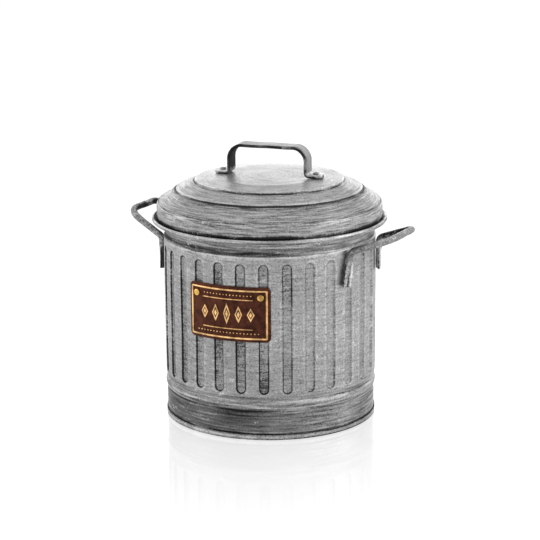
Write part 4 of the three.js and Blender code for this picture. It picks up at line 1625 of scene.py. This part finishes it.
@dataclass
class Lid:
    """The stepped lid, its strap handle and the two rivets that hold the strap."""

    radius: float = 84.9
    sheet: float = 0.6
    hem_radius: float = 2.9
    hem_height: float = 153.18
    skirt_top: float = 162.58
    top: float = 182.16
    turn: float = 9.0
    strap_half_width: float = 7.0
    strap_thickness: float = 2.2
    strap_span: float = 60.0
    strap_foot: float = 12.5
    strap_top: float = 205.7
    strap_seat: float = 182.5
    strap_corner: float = 12.0
    strap_bend: float = 2.6
    strap_soft: float = 0.45
    rivet_along: float = 36.5

    def _outside(self) -> list[Corner]:
        """The outside of the lid, from its turned-in edge to its middle.

        Returns:
            The corners in order.
        """
        hem = arc((self.radius - self.hem_radius, self.hem_height), self.hem_radius, -90, 0, 9)
        top = self.skirt_top
        return [
            *hem,
            Corner(self.radius - 0.3, top - 0.5, 0.5),
            Corner(self.radius - 0.85, top, 0.3),
            Corner(self.radius - 1.1, top + 0.35, 0.3),
            Corner(self.radius - 1.0, top + 0.95, 1.3),
            Corner(81.0, top + 2.75, 7.0),
            Corner(74.2, top + 7.0, 5.0),
            Corner(71.7, top + 9.5, 1.2),
            Corner(70.6, top + 10.0, 0.3),
            Corner(69.6, top + 11.1, 0.7),
            Corner(57.6, top + 15.6, 1.2),
            Corner(56.6, top + 16.1, 0.3),
            Corner(55.6, top + 17.65, 0.8),
            Corner(37.5, self.top, 4.0),
            Corner(0, self.top),
        ]

    def build_shell(self) -> Piece:
        """Makes the sheet of the lid.

        Returns:
            The lid as one closed sheet.
        """
        outside = spread(rounded(self._outside(), 9), 2.2)
        along = directions(outside)
        inside = outside + np.stack([-along[:, 1], along[:, 0]], axis=-1) * self.sheet
        inside = inside[np.concatenate([[True], np.diff(inside[:, 0]) < 0.05])]
        inside[-1] = [0, self.top - self.sheet]
        inside = inside[(inside[:, 0] > 0.2) | (np.arange(len(inside)) == len(inside) - 1)]
        points, faces = turned(np.vstack([inside[::-1], outside]), 320)
        calm = 1 - smooth_step(np.hypot(points[:, 0], points[:, 1]), 62, 80)
        for size, amount, seed in ((17.0, 0.34, 8.1), (44.0, 0.4, 2.2)):
            points[:, 2] += unevenness(points * [1, 1, 0], size, amount, seed) * calm
        return make_object("lid_skin", points, faces)

    def _strap_line(self) -> Array:
        """The middle line of the strap, along and up.

        Returns:
            The points in order.
        """
        low = self.strap_seat + self.strap_thickness / 2
        high = self.strap_top - self.strap_thickness / 2
        leg, end = self.strap_span / 2, self.strap_span / 2 + self.strap_foot
        corners = [
            Corner(-end, low),
            Corner(-leg, low, self.strap_bend),
            Corner(-leg, high, self.strap_corner),
            Corner(leg, high, self.strap_corner),
            Corner(leg, low, self.strap_bend),
            Corner(end, low),
        ]
        line = rounded(corners, 7)
        inner = spread(line[1:-1], 2.0)
        tip = self.strap_half_width * (1 - np.cos(np.linspace(0.06, math.pi / 2, 12)))
        left = np.stack([-end + tip, np.full_like(tip, low)], axis=-1)
        right = np.stack([end - tip[::-1], np.full_like(tip, low)], axis=-1)
        return np.vstack([left, inner, right])

    def build_strap(self) -> Piece:
        """Makes the strap, with rounded ends and softened edges.

        Returns:
            The strap.
        """
        line = self._strap_line()
        end = self.strap_span / 2 + self.strap_foot
        half_thick, soft = self.strap_thickness / 2, self.strap_soft
        rings, shades = [], []
        for at, along in zip(line, directions(line)):
            normal = np.array([-along[1], along[0]])
            from_end = end - abs(at[0]) if abs(at[1] - line[0][1]) < 0.01 else math.inf
            short = max(self.strap_half_width - from_end, 0)
            half = math.sqrt(max(self.strap_half_width**2 - short**2, 0.04))
            bevel = min(soft, half * 0.8)
            section = []
            for side, top, first in ((1, -1, -90), (1, 1, 0), (-1, 1, 90), (-1, -1, 180)):
                corner = np.array([side * (half - bevel), top * (half_thick - soft)])
                for a in np.radians(first + 30 * np.arange(4)):
                    section.append(corner + [bevel * math.cos(a), soft * math.sin(a)])
                if top == side:
                    section += [np.array([f * side * half, top * half_thick]) for f in (0.4, -0.4)]
            cut = np.array(section)
            x, z = (at[i] + cut[:, 1] * normal[i] for i in (0, 1))
            rings.append(np.stack([x, -cut[:, 0], z], axis=-1))
            # The inner side is painted dark as shade, and the feet's upper faces are painted lighter.
            raised = smooth_step(at[1] - line[0][1], 0.5, 4.0)
            inner = smooth_step(-cut[:, 1] / half_thick, 0.6, 1.0)
            shades.append(0.9 * raised * inner - 0.42 * (1 - raised) * (cut[:, 1] > 0))
        points = np.concatenate(rings)
        points[:, 1] += unevenness(points * [1, 0, 1], 14.0, 0.25, 5.5)
        legs = smooth_step(points[:, 2], self.strap_seat + 6, self.strap_top - 2)
        points[:, 2] -= np.abs(unevenness(points * [1, 0, 0], 16.0, 0.4, 9.4)) * legs
        columns = len(rings[0])
        faces = ring_faces(len(rings), columns, False) + end_caps(len(rings), columns)
        strap = make_object("lid_strap", points, faces)
        set_shade(strap, np.concatenate(shades))
        return self._turn(strap)

    def build_rivet(self, name: str, side: int) -> Piece:
        """Makes one tubular rivet.

        Args:
            name: The rivet's name.
            side: -1 for the left one and 1 for the right one.

        Returns:
            The rivet.
        """
        seat = self.strap_seat + self.strap_thickness + 0.3
        tail = self.top - self.sheet - 0.34
        corners = [
            Corner(0, tail - 0.78),
            Corner(1.6, tail - 0.78, 0.3),
            Corner(2.05, tail, 0.3),
            Corner(1.18, tail, 0.1),
            Corner(1.18, seat, 0.1),
            Corner(2.55, seat, 0.25),
            Corner(2.3, seat + 0.8, 0.6),
            Corner(1.35, seat + 1.05, 0.35),
            Corner(0.95, seat + 0.85, 0.2),
            Corner(0.9, seat + 0.1, 0.1),
            Corner(0, seat + 0.1),
        ]
        points, faces = turned(spread(rounded(corners), 0.5), 36)
        return self._turn(make_object(name, points + [side * self.rivet_along, 0, 0], faces))

    def _turn(self, piece: Piece) -> Piece:
        """Turns a piece's mesh with the lid."""
        piece.data.transform(Matrix.Rotation(math.radians(self.turn), 4, "Z"))
        return piece

    def build(self) -> None:
        """Makes and dresses the lid, the strap and the rivets."""
        # Painted shadow on the hem in the gap under the rim, painted shade darkening the skirt
        # towards its bottom, dark smudges above the crease, and oxide with painted shade on the
        # risers of both steps.
        grooves_and_shade = Rings(Scale.PROFILE, (
            (66.0, 1.0), (68.5, 1.0), (69.3, 0.5), (71.6, 0.16), (75.0, 0.08), (78.4, 0.0),
            (79.0, 0.45), (80.0, 0.5), (82.0, 0.26), (84.6, 0.1), (92.0, 0.06), (97.0, 0.14),
            (100.6, 0.4), (101.4, 0.72), (103.2, 0.6), (103.9, 0.05), (106.0, 0.03),
            (117.6, 0.06), (120.6, 0.24), (121.9, 0.58), (123.6, 0.46), (124.3, 0.0),
            (150.0, 0.04),
        ))
        # Painted highlights along the skirt's top edge and on the crests of both steps.
        edges = Rings(Scale.PROFILE, (
            (66.0, 0.0), (73.0, 0.05), (75.4, 0.24), (78.4, 0.4), (78.9, 0.05), (84.0, 0.06),
            (92.0, 0.14), (98.0, 0.1), (103.6, 0.05), (104.1, 0.6), (105.6, 0.4),
            (107.0, 0.06), (119.0, 0.06), (124.0, 0.0), (124.5, 0.6), (126.0, 0.3),
            (128.0, 0.02), (150.0, 0.08),
        ))
        sweeps = Rings(Scale.PROFILE, (
            (66.0, 0.0), (68.6, 0.1), (70.5, 1.0), (100.0, 1.0), (103.4, 0.9), (106.0, 0.6),
            (122.0, 0.7), (127.0, 0.12), (160.0, 0.0),
        ))
        # Thin oxide, and painted shade that darkens the steeper outer bands more than the flat
        # middle.
        films_and_shade = Rings(Scale.PROFILE, (
            (66.0, 0.1), (72.0, 0.08), (78.4, 0.2), (79.5, 0.24), (84.0, 0.18), (96.0, 0.28),
            (103.0, 0.26), (104.5, 0.1), (121.0, 0.1), (124.2, 0.02), (150.0, 0.0),
        ))
        zinc = BrushedZinc(
            name="galvanized_sheet_brushed_lid",
            brush=BrushWay.ROUND_LID,
            dark_rings=grooves_and_shade,
            bright_rings=edges,
            film_and_shade_rings=films_and_shade,
            sweep_rings=sweeps,
            roughness=0.34,
            streak_run=8.0,
            streak_depth=0.1,
            grain_mm=0.6,
            grain_depth=0.14,
            cloud_depth=0.06,
            sweep_mm=0.6,
            sweep_run=16.0,
            sweep_depth=0.36,
            scuffs=0.6,
        ).build()
        strap = BrushedZinc(
            name="galvanized_strap_brushed",
            clean="8e8e8e",
            brush=BrushWay.LONG_X,
            dark_rings=Rings(
                Scale.ACROSS,
                (
                    (-7.4, 0.92), (-6.6, 0.72), (-5.8, 0.18), (0.0, 0.1), (5.8, 0.18), (6.6, 0.72),
                    (7.4, 0.92),
                ),
            ),
            sweep_rings=Rings(Scale.ACROSS, ((-7.4, 1.0), (7.4, 1.0))),
            streak_mm=1.0,
            cloud_mm=9.0,
            dark_cover=0.06,
            bright_cover=0.16,
            sweep_mm=1.0,
            sweep_run=16.0,
            sweep_depth=0.2,
            shaded=True,
            strap_turn=self.turn,
        ).build()
        rivet = BrushedZinc(
            name="galvanized_tube_rivet",
            clean="8c8c8c",
            brush=BrushWay.NONE,
            cloud_mm=5.0,
            dark_cover=0.15,
        ).build()
        dress(self.build_shell(), zinc, "lid", "lid_shell")
        dress(self.build_strap(), strap, "lid", "lid_handle")
        for side, word in ((-1, "left"), (1, "right")):
            piece = self.build_rivet(f"lid_tube_rivet_{word}", side)
            dress(piece, rivet, "lid", f"lid_rivet_{word}")


# ------------------------------------------------------------------ the studio


@dataclass(frozen=True)
class SoftBox:
    """One soft lamp of the studio, placed as the camera sees the bin.

    Attributes:
        name: The lamp's name.
        side: Metres to the camera's right of the bin.
        depth: Metres behind the bin.
        height: Metres above the floor.
        width: Width of the lamp.
        length: Length of the lamp.
        watts: Power.
    """

    name: str
    side: float
    depth: float
    height: float
    width: float
    length: float
    watts: float


@dataclass
class Studio:
    """The pale floor, the soft lamps, the white surround and the camera.

    Attributes:
        lens: Focal length for a sensor 36 mm wide.
        floor_half: Half the floor's side, in metres.
        surround: Strength of the surround as a light.
        aim_height: Height at which the lamps are aimed, in metres.
        floor_glow: Strength of the floor's own light, and its share of the floor.
        gloss: Roughness of the floor's reflection, and its share under the bin.
        gloss_ends: Millimetres from the axis between which the reflection fades out.
        lamps: The soft lamps.
    """

    camera_azimuth: float = 27.1
    camera_distance: float = 1504.4
    camera_height: float = 484.8
    camera_pitch: float = 14.034
    camera_roll: float = -0.384
    lens: float = 136.56
    floor_half: float = 9.0
    surround: float = 0.62
    aim_height: float = 0.11
    floor_glow: Point = (1.12, 0.8)
    gloss: Point = (0.06, 0.25)
    gloss_ends: Point = (80.0, 290.0)
    lamps: tuple[SoftBox, ...] = (
        SoftBox("low_back", 0.0, 2.2, 0.55, 3.2, 0.7, 15.0),
        SoftBox("overhead", 0.0, 0.3, 1.7, 1.6, 1.6, 3.5),
        SoftBox("side_left", -1.7, 0.3, 0.6, 1.2, 0.9, 4.0),
        SoftBox("front_right", 1.7, -0.4, 0.8, 1.3, 1.3, 12.5),
    )

    def _camera_frame(self) -> tuple[Vector, Vector]:
        """The level directions to the camera's right and away from it.

        Returns:
            Both directions.
        """
        angle = math.radians(self.camera_azimuth)
        right = Vector((math.cos(angle), math.sin(angle), 0))
        away = Vector((-math.sin(angle), math.cos(angle), 0))
        return right, away

    def build_camera(self) -> None:
        """Makes the camera at the photograph's place."""
        _, away = self._camera_frame()
        data = bpy.data.cameras.new("studio_camera")
        data.lens = self.lens
        data.sensor_width = 36.0
        data.clip_end = 60.0
        camera = bpy.data.objects.new("studio_camera", data)
        bpy.context.scene.collection.objects.link(camera)
        camera.location = -away * self.camera_distance * MM
        camera.location.z = self.camera_height * MM
        pitch = Matrix.Rotation(math.radians(90 - self.camera_pitch), 4, "X")
        turn = Matrix.Rotation(math.radians(self.camera_azimuth), 4, "Z")
        roll = Matrix.Rotation(math.radians(self.camera_roll), 4, "Z")
        place = Matrix.Translation(camera.location)
        camera.matrix_world = place @ turn @ pitch @ roll
        bpy.context.scene.camera = camera

    def build_lamps(self) -> None:
        """Makes the soft lamps, each aimed at the middle of the bin."""
        right, away = self._camera_frame()
        target = Vector((0, 0, self.aim_height))
        for box in self.lamps:
            data = bpy.data.lights.new(box.name, "AREA")
            data.shape = "RECTANGLE"
            data.size, data.size_y = box.width, box.length
            data.energy = box.watts
            lamp = bpy.data.objects.new(box.name, data)
            bpy.context.scene.collection.objects.link(lamp)
            lamp.location = right * box.side + away * box.depth + Vector((0, 0, box.height))
            lamp.rotation_euler = (target - lamp.location).to_track_quat("-Z", "Y").to_euler()

    @staticmethod
    def _seen(tree: Tree) -> Socket:
        """Adds a test for rays that should see plain white: camera, glossy, transmission.

        Args:
            tree: The node tree.

        Returns:
            1 for those rays, and 0 for the rest.
        """
        rays = add_node(tree, "LightPath").node.outputs
        either = (rays["Is Camera Ray"], rays["Is Glossy Ray"])
        seen = add_node(tree, "Math", either, operation="MAXIMUM")
        return add_node(tree, "Math", (seen, rays["Is Transmission Ray"]), operation="MAXIMUM")

    def build_world(self) -> None:
        """Makes the white surround, which lights the bin at a plain level."""
        world = bpy.data.worlds.new("white_surround")
        bpy.context.scene.world = world
        world.use_nodes = True
        tree = world.node_tree
        tree.nodes.clear()
        strength = add_node(tree, "MapRange", (self._seen(tree), 0, 1, self.surround, 1.0))
        light = add_node(tree, "Background", (linear("ffffff"), strength))
        add_node(tree, "OutputWorld", (light,))

    def build_floor(self) -> None:
        """Makes the white floor, with its faint reflection and the bin's soft shadow."""
        half = self.floor_half * 1000
        corners = np.array([[-half, -half, 0], [half, -half, 0], [half, half, 0], [-half, half, 0]])
        floor = make_object("studio_floor", corners, [(0, 1, 2, 3)])
        material, tree = new_material("white_lacquered_board")
        white = linear("ffffff")
        paint = add_node(tree, "BsdfDiffuse", (white,))
        glow = add_node(tree, "Emission", (white, self.floor_glow[0]))
        lift = add_node(tree, "MixShader", (self.floor_glow[1], paint, glow))
        gloss = add_node(tree, "BsdfGlossy", (white, self.gloss[0]))
        place = add_node(tree, "TexCoord").node.outputs["Object"]
        away = add_node(tree, "VectorMath", (place,), operation="LENGTH")
        near, far = (distance * MM for distance in self.gloss_ends)
        polish = add_node(tree, "MapRange", (away, near, far, self.gloss[1], 0.0))
        shown = add_node(tree, "MixShader", (polish, lift, gloss))
        plain = add_node(tree, "BsdfDiffuse", (linear("ececec"),))
        whole = add_node(tree, "MixShader", (self._seen(tree), plain, shown))
        add_node(tree, "OutputMaterial", (whole,))
        floor.data.materials.append(material)
        floor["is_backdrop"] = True

    def build(self) -> None:
        """Makes the whole studio."""
        self.build_camera()
        self.build_lamps()
        self.build_world()
        self.build_floor()
        bpy.context.scene.view_settings.view_transform = "Standard"
        log.info("studio with %d lamps", len(self.lamps))


# ------------------------------------------------------------------ assembly


def write_sizes() -> None:
    """Logs the solid model's box and the visual model's box."""
    boxes = {
        "cad": [list(corner) for corner in CAD_BOX],
        "visual": [list(corner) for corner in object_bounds()],
    }
    for name, (low, high) in boxes.items():
        log.info("%s box %s to %s", name, np.round(low, 4).tolist(), np.round(high, 4).tolist())


def main() -> None:
    """Builds the studio and the bin."""
    logging.basicConfig(level=logging.INFO, format="%(name)s: %(message)s")
    Studio().build()
    BinBody().build()
    rod = BrushedZinc(
        name="galvanized_rod_drawn",
        clean="8a8a8a",
        brush=BrushWay.NONE,
        # Painted highlights on the ears.
        bright_rings=Rings(Scale.HEIGHT, ((106.0, 0.2), (127.0, 0.15), (131.0, 0.0), (150.0, 0.0))),
        cloud_mm=8.0,
        dark_cover=0.12,
        bright_cover=0.2,
        streak_mm=1.4,
        grain_depth=0.14,
        shaded=True,
    ).build()
    SideHandle(
        "side_rod_right", "side_handle_right", 90.0, (110.8, 112.8), 136.5, 32.74, 20.0
    ).build(rod)
    SideHandle(
        "side_rod_left", "side_handle_left", 270.0, (108.8, 108.8), 132.2, 35.0, 30.0, stain=0.22
    ).build(rod)
    Plaque().build()
    Lid().build()
    write_sizes()


if __name__ == "__main__":
    main()
